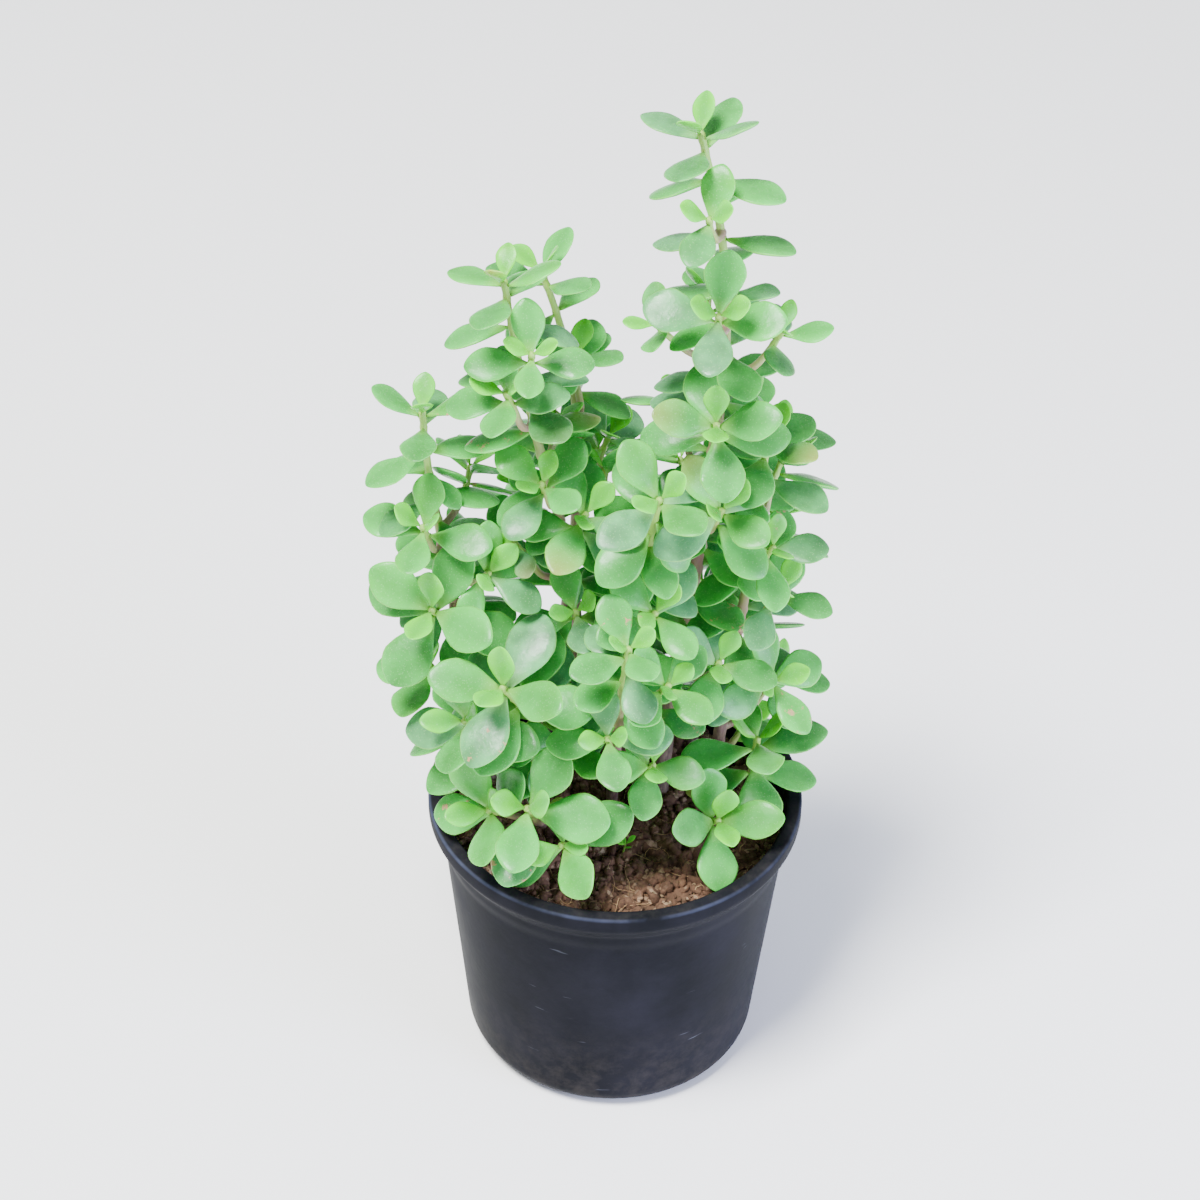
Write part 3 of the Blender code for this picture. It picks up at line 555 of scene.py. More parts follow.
# Rooted stems: name, route from just above the mix to the tip, radius at the foot and at the tip,
# turn of the tip pair, largest leaf, number of pairs, internode
Stem = namedtuple("Stem", "name route foot_radius tip_radius roll leaf pairs internode")
STEMS = (
    Stem("tall_stem", ((15, 12, 94), (17, 10, 130), (22, 7, 180), (27, 4, 235), (29, 4, 290), (25, 5, 325),
                       (19, 7, 350)),
         3.4, 1.0, 0, 22, 20, 9.5),
    Stem("right_stem", ((33, 16, 94), (35, 10, 130), (38, 4, 170), (42, 3, 210), (43, 0, 248)),
         2.6, 1.0, 40, 22, 13, 9.0),
    Stem("middle_stem", ((6, 22, 94), (5, 14, 130), (5, 4, 175), (8, -8, 212), (11, -25, 243)),
         2.8, 1.0, 30, 24, 13, 9.0),
    Stem("front_stem", ((-1, 6, 94), (0, -6, 125), (1, -22, 160), (3, -37, 195)),
         2.2, 1.0, 20, 20, 9, 8.0),
    Stem("front_left_stem", ((-20, 12, 94), (-23, 0, 125), (-30, -20, 155), (-36, -35, 176)),
         2.4, 1.0, 90, 26, 8, 8.0),
    Stem("low_left_stem", ((-24, -8, 94), (-25, -22, 108), (-28, -41, 131)),
         1.9, 1.0, 0, 27, 5, 6.0),
    Stem("left_stem", ((-42, 18, 94), (-48, 14, 130), (-54, 8, 180), (-60, 5, 225), (-62, 5, 252)),
         2.6, 1.0, 15, 21, 12, 9.0),
    Stem("slender_stem", ((-10, 26, 94), (-13, 16, 150), (-18, 8, 200), (-26, 3, 240), (-33, 3, 275),
                          (-37, 5, 300)),
         2.6, 1.0, 10, 21, 16, 9.5),
    Stem("back_stem", ((-22, 34, 94), (-19, 33, 140), (-15, 31, 195), (-17, 30, 250), (-27, 30, 288)),
         2.8, 1.0, 60, 20, 10, 10.0),
    Stem("back_right_stem", ((26, 38, 94), (30, 40, 140), (35, 38, 190), (38, 34, 238)),
         2.4, 1.0, 30, 22, 9, 9.0),
    Stem("low_right_stem", ((44, 2, 94), (45, -2, 112), (46, -6, 133)),
         1.8, 1.0, 0, 24, 5, 6.0),
    Stem("low_front_stem", ((29, -12, 94), (31, -19, 106), (34, -26, 114)),
         1.5, 1.0, 80, 24, 3, 5.0),
    Stem("low_middle_stem", ((-10, -18, 94), (-13, -31, 106), (-17, -42, 116)),
         1.6, 1.0, 45, 26, 3, 5.0),
)

# Side shoots by the stem that carries them: height of the joint, tip, azimuth and elevation that the tip
# faces (0 is the viewer, 90 is +X), turn of the tip pair, largest leaf, number of pairs, internode
Shoot = namedtuple("Shoot", "name parent height tip azimuth elevation roll leaf pairs internode")
SHOOT_ROWS = {
    "tall": (
        (318, (22, -14, 334), 0, 50, 0, 19, 2, 6), (286, (26, -16, 303), 0, 45, 0, 22, 3, 6),
        (274, (8, 3, 287), -60, 50, 70, 17, 2, 6), (270, (46, 0, 288), 50, 60, 20, 17, 3, 6),
        (246, (27, -18, 266), 0, 42, 90, 22, 4, 6), (214, (30, -19, 235), 10, 45, 30, 22, 4, 6),
        (262, (24, 26, 284), 180, 55, 20, 20, 3, 7), (226, (16, 22, 248), 200, 50, 60, 20, 3, 7),
        (152, (32, -15, 172), 10, 55, 60, 22, 3, 7),
    ),
    "right": (
        (196, (47, -9, 214), 40, 40, 60, 20, 3, 7), (174, (50, -6, 194), 60, 45, 20, 21, 3, 7),
        (150, (50, -14, 164), 40, 40, 0, 21, 3, 7), (206, (50, 20, 228), 130, 50, 40, 21, 3, 7),
        (122, (54, 16, 142), 90, 45, 20, 22, 3, 7),
    ),
    "middle": (
        (176, (11, -22, 197), 10, 45, 40, 21, 3, 7), (196, (-6, 20, 222), 150, 60, 20, 20, 3, 7),
        (130, (12, -12, 150), 10, 45, 50, 20, 3, 7),
    ),
    "front": (
        (140, (-3, -37, 158), -10, 40, 10, 20, 3, 6), (122, (12, -31, 142), 20, 40, 70, 20, 3, 6),
        (162, (16, -34, 178), 30, 45, 30, 19, 3, 6),
    ),
    "front_left": (
        (138, (-49, -26, 154), -50, 40, 30, 25, 3, 7), (122, (-16, -22, 140), 20, 45, 60, 20, 3, 7),
        (112, (-45, -14, 131), -60, 40, 0, 25, 3, 7),
    ),
    "low_left": (
        (108, (-41, -34, 123), -45, 35, 50, 25, 3, 6),
    ),
    "left": (
        (200, (-62, -6, 216), -10, 45, 0, 21, 3, 7), (174, (-59, -15, 190), -15, 40, 80, 26, 4, 6),
        (186, (-41, -8, 200), 40, 50, 20, 22, 3, 7), (150, (-54, 28, 174), 220, 50, 20, 22, 3, 7),
        (206, (-48, 19, 222), 160, 55, 60, 20, 3, 7), (134, (-62, 0, 156), -70, 40, 40, 24, 3, 7),
    ),
    "slender": (
        (268, (-28, -10, 284), 10, 50, 0, 19, 3, 6), (250, (-36, -9, 269), -25, 45, 20, 20, 3, 6),
        (220, (-25, -9, 236), -10, 45, 70, 20, 3, 6), (206, (-11, -8, 224), 40, 45, 40, 22, 4, 6),
        (164, (-14, -6, 184), 0, 50, 20, 20, 3, 7), (186, (-34, 0, 206), -60, 45, 50, 20, 3, 7),
    ),
    "back": (
        (236, (-15, 24, 262), 40, 55, 40, 19, 3, 7), (206, (-5, 28, 228), 60, 50, 10, 21, 3, 7),
        (176, (-34, 38, 200), 230, 50, 30, 22, 3, 7), (190, (-8, 44, 212), 150, 50, 70, 22, 3, 7),
        (140, (-18, 47, 164), 180, 45, 20, 22, 3, 7),
    ),
    "back_right": (
        (184, (18, 48, 206), 200, 50, 20, 22, 3, 7), (164, (50, 46, 186), 130, 50, 60, 22, 3, 7),
        (138, (26, 54, 158), 180, 40, 20, 22, 3, 7), (210, (50, 34, 226), 80, 50, 20, 21, 2, 7),
    ),
}
SHOOTS = [Shoot(f"{stem}_shoot_{k}", f"{stem}_stem", *row)
          for stem, rows in SHOOT_ROWS.items() for k, row in enumerate(rows, 1)]


def facing(azimuth, elevation):
    """The unit vector of a direction given in degrees: azimuth 0 is -Y, 90 is +X."""
    turn = math.radians(azimuth)
    rise = math.radians(elevation)
    return Vector((math.sin(turn) * math.cos(rise), -math.cos(turn) * math.cos(rise), math.sin(rise)))


def smooth_route(points, steps):
    """Points of a Catmull-Rom curve through the given points, with the ends mirrored to start and stop it."""
    points = [Vector(p) for p in points]
    before = points[0] * 2 - points[1]
    after = points[-1] * 2 - points[-2]
    ring = [before, *points, after]
    route = []
    for i in range(len(points) - 1):
        a, b, c, d = ring[i:i + 4]
        for k in range(steps):
            t = k / steps
            route.append(0.5 * (2 * b + (c - a) * t + (2 * a - 5 * b + 4 * c - d) * t ** 2
                                + (3 * b - a - 3 * c + d) * t ** 3))
    route.append(points[-1])
    return route


def point_at_height(route, height):
    """The point, the direction and the share of the route where it first reaches a height."""
    for i in range(len(route) - 1):
        low, high = route[i], route[i + 1]
        if low.z <= height <= high.z:
            t = (height - low.z) / (high.z - low.z)
            return low.lerp(high, t), (high - low).normalized(), (i + t) / (len(route) - 1)
    return route[-1], (route[-1] - route[-2]).normalized(), 1.0


def point_from_tip(route, distance):
    """The point and the direction at a distance back from the tip of a route, or None past its start."""
    left = distance
    for high, low in zip(route[::-1], route[-2::-1]):
        step = (high - low).length
        if left <= step:
            return high.lerp(low, left / step), (high - low).normalized()
        left -= step
    return None


def shoot_route(shoot, parent, parent_route):
    """A side shoot's centreline: it leaves the parent square to it and bends to face its own way."""
    joint, along, share = point_at_height(parent_route, shoot.height)
    tip = Vector(shoot.tip)
    radius = parent.foot_radius + (parent.tip_radius - parent.foot_radius) * share
    outward = tip - joint
    outward = (outward - along * outward.dot(along)).normalized()
    start = joint + outward * (radius + GAP)
    reach = (tip - start).length
    rise = start + outward * (SHOOT_BEND * reach)
    fall = tip - facing(shoot.azimuth, shoot.elevation) * (SHOOT_BEND * reach)
    first = start + outward * SHOOT_STUB
    route = [start]
    for k in range(SHOOT_STEPS + 1):
        t = k / SHOOT_STEPS
        route.append(first * (1 - t) ** 3 + rise * (3 * t * (1 - t) ** 2)
                     + fall * (3 * t ** 2 * (1 - t)) + tip * t ** 3)
    return route


def leaf_matrix(point, along, spin, angle, length, radius):
    """Where a leaf goes: X runs to its tip, Z is its upper side, and its scale is its length."""
    sideways = Vector((0, 0, 1)).cross(along)
    if sideways.length < 0.05:
        sideways = Vector((1, 0, 0))
    sideways.normalize()
    out = Matrix.Rotation(math.radians(spin), 3, along) @ sideways
    tilt = math.radians(angle)
    run = along * math.cos(tilt) + out * math.sin(tilt)
    up = along * math.sin(tilt) - out * math.cos(tilt)
    side = up.cross(run)
    frame = Matrix((run, side, up)).transposed().to_4x4()
    return Matrix.Translation(point + out * (LEAF_SEAT * radius)) @ frame @ Matrix.Scale(length, 4)


def leaf_mesh(places, inflate=0.0, first_station=0.0):
    """One mesh of leaves: a sphere of three rings for each, its rings spread along the leaf and flattened."""
    mesh = bmesh.new()
    poles = (0, LEAF_SIDES)
    ring_angle = 180 / LEAF_SIDES
    stations = (0.0, *LEAF_STATIONS, 1.0)
    widths = (0.0, *LEAF_HALF_WIDTHS, 0.0)
    depths = (0.0, *LEAF_HALF_THICKNESSES, 0.0)
    for place in places:
        ball = bmesh.ops.create_uvsphere(mesh, u_segments=LEAF_SIDES, v_segments=LEAF_SIDES, radius=1.0)
        length = place.to_scale().x
        grow = inflate / length
        for vertex in ball["verts"]:
            down = math.degrees(math.acos(max(-1, min(1, vertex.co.z))))
            ring = LEAF_SIDES - round(down / ring_angle)
            turn = math.atan2(vertex.co.y, vertex.co.x)
            station = max(stations[ring], first_station)
            half_width = 0.0 if ring in poles else widths[ring] + grow
            half_depth = 0.0 if ring in poles else depths[ring] + grow
            vertex.co = place @ Vector((
                station + (grow if ring == LEAF_SIDES else 0.0),
                half_width * math.cos(turn),
                half_depth * math.sin(turn) - LEAF_DROOP * station ** 2,
            ))
    bmesh.ops.recalc_face_normals(mesh, faces=mesh.faces)
    return mesh


def tree(mesh):
    """The collision tree of a mesh, which is then freed."""
    found = BVHTree.FromBMesh(mesh)
    mesh.free()
    return found


def in_the_pot(place):
    """True if a leaf dips into the mix or touches the rim."""
    for station, width in LEAF_PROBES:
        for side in (-width, width):
            point = place @ Vector((station, side, LEAF_UNDERSIDE))
            reach = math.hypot(point.x, point.y)
            if reach < RIM_INSIDE and point.z < SOIL_TOP + SOIL_RISE + MIX_CLEARANCE:
                return True
            over_the_rim = RIM_INSIDE - RIM_CLEARANCE < reach < RIM_RADIUS + RIM_CLEARANCE
            if over_the_rim and point.z < POT_HEIGHT + RIM_HEADROOM:
                return True
    return False


def tube_tree(route, foot_radius, tip_radius):
    """The collision tree of a stem, a little fatter than the stem, from cones along its route."""
    mesh = bmesh.new()
    last = len(route) - 1
    for i in range(last):
        low, high = route[i], route[i + 1]
        start = foot_radius + (tip_radius - foot_radius) * i / last + GAP
        end = foot_radius + (tip_radius - foot_radius) * (i + 1) / last + GAP
        turn = (high - low).to_track_quat("Z", "Y").to_matrix().to_4x4()
        place = Matrix.Translation((low + high) / 2) @ turn
        bmesh.ops.create_cone(mesh, cap_ends=True, segments=8, radius1=start, radius2=end,
                              depth=(high - low).length, matrix=place)
    return tree(mesh)


def place_leaves(name, route, roll, leaf, pairs, internode, radius, taken, stems):
    """The places of one shoot's leaves. Each pair is turned a quarter from the next, and a leaf that would
    touch a leaf or a stem, the rim or the mix is turned, bent or shortened until it is clear, or left out."""
    chance = random.Random(name)
    places = []
    distance = 0.0
    for pair in range(pairs):
        late = min(pair, len(PAIR_SHARES) - 1)
        if pair < len(PAIR_DISTANCES):
            distance = PAIR_DISTANCES[pair]
        else:
            distance += internode
        found = point_from_tip(route, distance)
        if found is None:
            break
        point, along = found
        for side in (0, 180):
            spin = roll + side + 90 * (pair % 2) + chance.uniform(-PAIR_SPREAD, PAIR_SPREAD)
            angle = PAIR_ANGLES[late] + chance.uniform(-PAIR_SPREAD, PAIR_SPREAD)
            length = leaf * PAIR_SHARES[late] * chance.uniform(0.93, 1.05)
            for turn, bend, share in LEAF_CHANGES:
                place = leaf_matrix(point, along, spin + turn, angle + bend, length * share, radius)
                if in_the_pot(place):
                    continue
                whole = tree(leaf_mesh([place], LEAF_CLEARANCE))
                blade = tree(leaf_mesh([place], LEAF_CLEARANCE / 2, LEAF_STALK))
                if any(whole.overlap(other) for owner, other in stems.items() if owner != name):
                    continue
                if any(blade.overlap(other_blade) if owner == name else whole.overlap(other)
                       for owner, other, other_blade in taken):
                    continue
                taken.append((name, whole, blade))
                places.append((pair, place))
                break
    return places


# ---- Stems ----------------------------------------------------------------------------------------------
# Living jade wood. A shoot is green and pink at its tip, turns olive and mauve as it ages, and the rooted
# foot has thin grey-brown bark. Each is a tube along the route above, swollen where a leaf pair grows.

STEM_SIDES = 14
STEM_FINE = 5
NODE_SWELL = 0.22
NODE_LENGTH = 0.9
COLLAR_SWELL = 0.45
COLLAR_LENGTH = 2.2
STEM_SPACING = 0.9  # between the rings of a stem
STEM_WAVER = 0.05
WAVER_LENGTH = 9.0
TIP_NARROWING = 0.55


def pair_distances(shoot):
    """How far each leaf pair is from the tip: the first few as listed, then one internode each."""
    listed = list(PAIR_DISTANCES[:shoot.pairs])
    return listed + [PAIR_DISTANCES[-1] + shoot.internode * (k + 1) for k in range(shoot.pairs - len(listed))]


def stem_surface(route, foot_radius, tip_radius, distances, collar, seed):
    """A stem's verts, faces and ages. Its radius goes evenly from foot to tip, is raised by a bell curve at
    each leaf pair and at the collar where it leaves its parent, and wavers by 5 percent. Age is 1 at the
    foot."""
    path = np.array(smooth_route(route, STEM_FINE))
    steps = np.linalg.norm(np.diff(path, axis=0), axis=1)
    run = np.concatenate([[0], np.cumsum(steps)])
    length = run[-1]
    count = max(int(length / STEM_SPACING), 12)
    even = np.linspace(0, length, count)
    path = np.stack([np.interp(even, run, path[:, k]) for k in range(3)], 1)
    share = even / length
    radius = foot_radius + (tip_radius - foot_radius) * share
    for distance in distances:
        radius *= 1 + NODE_SWELL * np.exp(-((length - even - distance) / NODE_LENGTH) ** 2)
    radius *= 1 + collar * np.exp(-(even / COLLAR_LENGTH) ** 2)
    radius *= 1 + STEM_WAVER * ripple(even, even * 0, WAVER_LENGTH, seed)
    radius[-1] *= TIP_NARROWING
    verts, faces = strands(path[None], radius[None], STEM_SIDES)
    ages = np.concatenate([np.repeat(1 - share, STEM_SIDES), [1.0, 0.0]])
    return verts, faces, ages


def jade_bark():
    """Jade plant bark. The young wood is smooth, with green cells showing through thin pink-brown skin, in
    blotches of about 7 mm. Old wood is grey-brown, with fine cracks along it. It is matt, a little glossier
    where it is green."""
    made, tree, shader = new_material("jade_bark")
    place = add(tree, "TexCoord").outputs["Object"]
    age = add(tree, "Attribute", attribute_name="age").outputs["Fac"]
    wood = add(tree, "Attribute", attribute_name="wood").outputs["Fac"]
    blotch = add(tree, "TexNoise", {"Vector": place, "Scale": 1 / 0.007, "Detail": 4.0, "Roughness": 0.6})
    blotched = add(tree, "MapRange", {"Value": blotch, "From Min": 0.38, "From Max": 0.64})
    pink = add(tree, "Mix", {0: blotched, 6: srgb("#A59B68"), 7: srgb("#B58C7C")}, data_type="RGBA")
    mauve = add(tree, "Mix", {0: blotched, 6: srgb("#8C7A58"), 7: srgb("#8A5664")}, data_type="RGBA")
    middle = add(tree, "MapRange", {"Value": age, "From Min": 0.25, "From Max": 0.75})
    skin = add(tree, "Mix", {0: middle, 6: pink, 7: mauve}, data_type="RGBA")
    young = add(tree, "MapRange", {"Value": age, "From Min": 0.42, "From Max": 0.12})
    green = add(tree, "Mix", {0: young, 6: skin, 7: srgb("#8FB94C")}, data_type="RGBA")
    old = add(tree, "MapRange", {"Value": wood, "From Min": 0.45, "From Max": 0.95})
    drawn = add(tree, "Mapping", {0: place, "Scale": (900.0, 900.0, 160.0)})
    cracks = add(tree, "TexNoise", {"Vector": drawn, "Scale": 1.0, "Detail": 5.0, "Roughness": 0.7})
    cracked = add(tree, "MapRange", {"Value": cracks, "From Min": 0.4, "From Max": 0.62})
    bark = add(tree, "Mix", {0: cracked, 6: srgb("#4A3D33"), 7: srgb("#8C7B66")}, data_type="RGBA")
    colour = add(tree, "Mix", {0: old, 6: green, 7: bark}, data_type="RGBA")
    tree.links.new(colour.outputs[2], shader.inputs["Base Color"])
    rough = add(tree, "MapRange", {"Value": old, "To Min": 0.5, "To Max": 0.85})
    tree.links.new(rough.outputs[0], shader.inputs["Roughness"])
    bump = add(tree, "Bump", {"Height": cracks, "Strength": 0.5, "Distance": 0.0005})
    tree.links.new(bump.outputs[0], shader.inputs["Normal"])
    shader.inputs["Subsurface Weight"].default_value = 0.08
    shader.inputs["Subsurface Scale"].default_value = 0.001
    return made


# ---- Leaves ---------------------------------------------------------------------------------------------
# Thick oval succulent leaves in crossed pairs: water-filled tissue under a waxy skin, with a thin pale
# rim. Each grows from its stem on a short flat stalk. The youngest pair of a shoot is small and bright.

BLADE_RINGS = 15
BLADE_SIDES = 14
HALF_WIDTH = 0.305
HALF_THICKNESS = 0.070
SHOOT_AGE = 0.6  # how old a side shoot's foot looks, where a rooted foot is 1
SHOOT_WOOD = 0.5  # how much of that age shows as bark


def leaf_surfaces(places, pairs, chance):
    """The verts, faces and vertex values of one shoot's leaves. With t along the leaf, half its width is
    0.305 sin(pi t^n), blunted past the widest place by a power of 0.6, with n between 1.2 and 1.55, so that
    some leaves are ovals and others are spoons. Half its thickness rises over the stalk and rounds off at
    the tip. Round it, a point is at (cos a) of the width and (sin a) of the thickness, less on the flatter
    upper side. The blade then cups, droops, twists and waves a little, each its own amount."""
    count = len(places)

    def each(low, high):
        """One random number for each leaf, between low and high."""
        return chance.uniform(low, high, (count, 1, 1))

    s = np.linspace(0, 1, BLADE_RINGS + 2)[1:-1]
    t = (1 - (1 - s) ** 1.5 * (1 - 0.35 * s))[None, :, None]
    spoon = each(1.2, 1.55)
    lobe = np.sin(np.pi * t ** spoon)
    width = HALF_WIDTH * np.where(t ** spoon > 0.5, lobe ** 0.6, lobe * 0.94 + 0.06 * (t > 0.02) * (1 - t))
    thick = HALF_THICKNESS * (0.5 + 0.5 * np.clip(t / 0.5, 0, 1) ** 1.2) * np.sqrt(1 - t ** 5)
    a = (np.arange(BLADE_SIDES) * 2 * np.pi / BLADE_SIDES)[None, None, :]
    broad = each(0.93, 1.03)
    fat = each(0.85, 1.12)
    y = width * np.cos(a) * broad
    bulge = np.sign(np.sin(a)) * np.abs(np.sin(a)) ** 1.25
    z = thick * np.where(bulge > 0, 0.72, 1.0) * bulge * fat
    share = y / HALF_WIDTH
    z = z - LEAF_DROOP * t ** 2 * each(-0.6, 1.9)
    z = z + each(-0.02, 0.08) * share ** 2 * t
    z = z + each(-0.045, 0.045) * share * t
    z = z + 0.010 * np.sin(7 * t + each(0, 6)) * share
    y = y + each(-0.03, 0.03) * t ** 2
    x = np.broadcast_to(t, y.shape)
    rings = np.stack([x, y, z], -1).reshape(count, -1, 3)
    droop = z.mean(2)
    ends = np.zeros((count, 2, 3))
    ends[:, 1] = np.stack([np.full(count, 1.0), y.mean(2)[:, -1], droop[:, -1] * 1.03], 1)
    local = np.concatenate([rings, ends], 1)
    matrices = np.array([[list(row) for row in place] for place in places])
    verts = np.einsum("nij,nvj->nvi", matrices[:, :3, :3], local) + matrices[:, None, :3, 3]
    faces = tube_faces(count, BLADE_RINGS, BLADE_SIDES)
    edge = np.concatenate([np.tile(np.abs(np.cos(a[0, 0])), BLADE_RINGS), [0.0, 1.0]])
    along = np.concatenate([np.repeat(t[0, :, 0], BLADE_SIDES), [0.0, 1.0]])
    lengths = np.cbrt(np.linalg.det(matrices[:, :3, :3]))
    across = np.concatenate([local[:, :-2, 1], np.zeros((count, 2))], 1) * lengths[:, None]
    values = {
        "edge": np.tile(edge, count),
        "along": np.tile(along, count),
        "across": across.ravel(),
        "age": np.repeat(np.clip(np.array(pairs) / 2.2 + chance.uniform(-0.15, 0.15, count), 0, 1),
                         local.shape[1]),
        "tone": np.repeat(chance.uniform(0, 1, count), local.shape[1]),
        "blush": np.repeat(chance.uniform(0, 1, count), local.shape[1]),
    }
    return verts.reshape(-1, 3), faces, values


def waxy_leaf():
    """A living jade leaf. Light goes a little way into its wet tissue and comes back yellow-green, and the
    waxy skin gives a soft broad gloss. Young leaves are lime, old ones a deeper, bluer green. The rim is a
    pale line, fine pale pores show all over, a few leaves are blushed or have a corky brown scar, and some
    carry a blue-grey bloom of wax."""
    made, tree, shader = new_material("waxy_jade_leaf")
    place = add(tree, "TexCoord").outputs["Object"]
    value = {name: add(tree, "Attribute", attribute_name=name).outputs["Fac"]
             for name in ("edge", "along", "across", "age", "tone", "blush")}
    cloud = add(tree, "TexNoise", {"Vector": place, "Scale": 1 / 0.008, "Detail": 3.0, "Roughness": 0.55})
    mature = add(tree, "Mix", {0: value["tone"], 6: srgb("#387236"), 7: srgb("#4EBC4A")}, data_type="RGBA")
    grown = add(tree, "MapRange", {"Value": value["age"], "From Min": 0.0, "From Max": 0.5},
                interpolation_type="SMOOTHSTEP")
    green = add(tree, "Mix", {0: grown, 6: srgb("#66D81E"), 7: mature}, data_type="RGBA")
    clouded = add(tree, "MapRange", {"Value": cloud, "From Min": 0.35, "From Max": 0.68, "To Max": 0.5})
    varied = add(tree, "Mix", {0: clouded, 6: green, 7: srgb("#58CE5C")}, data_type="RGBA")
    # Painted shade and painted translucency: the thick middle of the blade is darkened to a deeper green, and
    # its thin margin is left lighter, as if lit through.
    thick = add(tree, "MapRange", {"Value": value["edge"], "From Min": 0.95, "From Max": 0.1,
                                   "To Max": 0.5})
    centre_shaded = add(tree, "Mix", {0: thick, 6: varied, 7: srgb("#2C6C30")}, data_type="RGBA")
    # The stalk is paler and yellower than the blade.
    stalk = add(tree, "MapRange", {"Value": value["along"], "From Min": 0.32, "From Max": 0.05,
                                   "To Max": 0.6})
    stalked = add(tree, "Mix", {0: stalk, 6: centre_shaded, 7: srgb("#8CC64A")}, data_type="RGBA")
    # Blush at the tip and rim of about one leaf in thirty.
    blushed = add(tree, "MapRange", {"Value": value["blush"], "From Min": 0.97, "From Max": 0.995})
    outer = add(tree, "MapRange", {"Value": value["along"], "From Min": 0.45, "From Max": 1.0,
                                   "To Max": 0.6})
    blushing = add(tree, "Math", {0: blushed, 1: outer}, operation="MULTIPLY")
    tinted = add(tree, "Mix", {0: blushing, 6: stalked, 7: srgb("#B8A04E")}, data_type="RGBA")
    # Wax bloom in soft patches on the grown leaves of about one in four.
    bloomed = add(tree, "MapRange", {"Value": value["tone"], "From Min": 0.28, "From Max": 0.1,
                                     "To Max": 0.3})
    patch = add(tree, "Math", {0: bloomed, 1: grown}, operation="MULTIPLY")
    bloom = add(tree, "Math", {0: patch, 1: cloud}, operation="MULTIPLY")
    waxed = add(tree, "Mix", {0: bloom, 6: tinted, 7: srgb("#98D2B4")}, data_type="RGBA")
    # Pores: pale dots 0.8 mm apart, coarser than life so that they show.
    dots = add(tree, "TexVoronoi", {"Vector": place, "Scale": 1 / 0.0008})
    dotted = add(tree, "MapRange", {"Value": dots.outputs["Distance"], "From Min": 0.3, "From Max": 0.1,
                                    "To Max": 0.25})
    pored = add(tree, "Mix", {0: dotted, 6: waxed, 7: srgb("#A8DE92")}, data_type="RGBA")
    # The rim: a pale line along the edge of the blade.
    rim = add(tree, "MapRange", {"Value": value["edge"], "From Min": 0.93, "From Max": 1.0, "To Max": 0.5})
    blade = add(tree, "MapRange", {"Value": value["along"], "From Min": 0.3, "From Max": 0.5})
    rimmed = add(tree, "Math", {0: rim, 1: blade}, operation="MULTIPLY")
    edged = add(tree, "Mix", {0: rimmed, 6: pored, 7: srgb("#9CEC66")}, data_type="RGBA")
    # Corky scars on about one leaf in thirty.
    scarred = add(tree, "MapRange", {"Value": value["blush"], "From Min": 0.035, "From Max": 0.03})
    crust = add(tree, "TexNoise", {"Vector": place, "Scale": 1 / 0.0045, "Detail": 5.0, "Roughness": 0.7})
    spots = add(tree, "MapRange", {"Value": crust, "From Min": 0.6, "From Max": 0.64})
    scar = add(tree, "Math", {0: scarred, 1: spots}, operation="MULTIPLY")
    colour = add(tree, "Mix", {0: scar, 6: edged, 7: srgb("#B08A66")}, data_type="RGBA")
    tree.links.new(colour.outputs[2], shader.inputs["Base Color"])
    smudge = add(tree, "TexNoise", {"Vector": place, "Scale": 1 / 0.005, "Detail": 4.0, "Roughness": 0.6})
    rough = add(tree, "MapRange", {"Value": smudge, "From Min": 0.3, "From Max": 0.7, "To Min": 0.19,
                                   "To Max": 0.38})
    tree.links.new(rough.outputs[0], shader.inputs["Roughness"])
    # A shallow fold along the middle of the blade, over a fine pebbled skin.
    middle = add(tree, "Math", {0: value["across"]}, operation="ABSOLUTE")
    fold = add(tree, "MapRange", {"Value": middle, "From Max": 1.2, "To Max": 1.0},
               interpolation_type="SMOOTHSTEP")
    skin = add(tree, "TexNoise", {"Vector": place, "Scale": 1 / 0.0018, "Detail": 3.0})
    relief = add(tree, "Math", {0: fold, 1: 0.12, 2: skin}, operation="MULTIPLY_ADD")
    bump = add(tree, "Bump", {"Height": relief, "Strength": 0.25, "Distance": 0.00035})
    tree.links.new(bump.outputs[0], shader.inputs["Normal"])
    shader.inputs["IOR"].default_value = 1.45
    shader.inputs["Subsurface Weight"].default_value = 0.22
    shader.inputs["Subsurface Radius"].default_value = (0.5, 1.0, 0.25)
    shader.inputs["Subsurface Scale"].default_value = 0.0016
    shader.inputs["Specular IOR Level"].default_value = 0.24
    return made


bark = jade_bark()
leaf_skin = waxy_leaf()
by_name = {stem.name: stem for stem in STEMS}
routes = {stem.name: smooth_route(stem.route, STEM_STEPS) for stem in STEMS}
solids = {stem.name: tube_tree(routes[stem.name], stem.foot_radius, stem.tip_radius) for stem in STEMS}
for shoot in SHOOTS:
    routes[shoot.name] = shoot_route(shoot, by_name[shoot.parent], routes[shoot.parent])
    solids[shoot.name] = tube_tree(routes[shoot.name], SHOOT_RADIUS, SHOOT_TIP_RADIUS)
taken = []


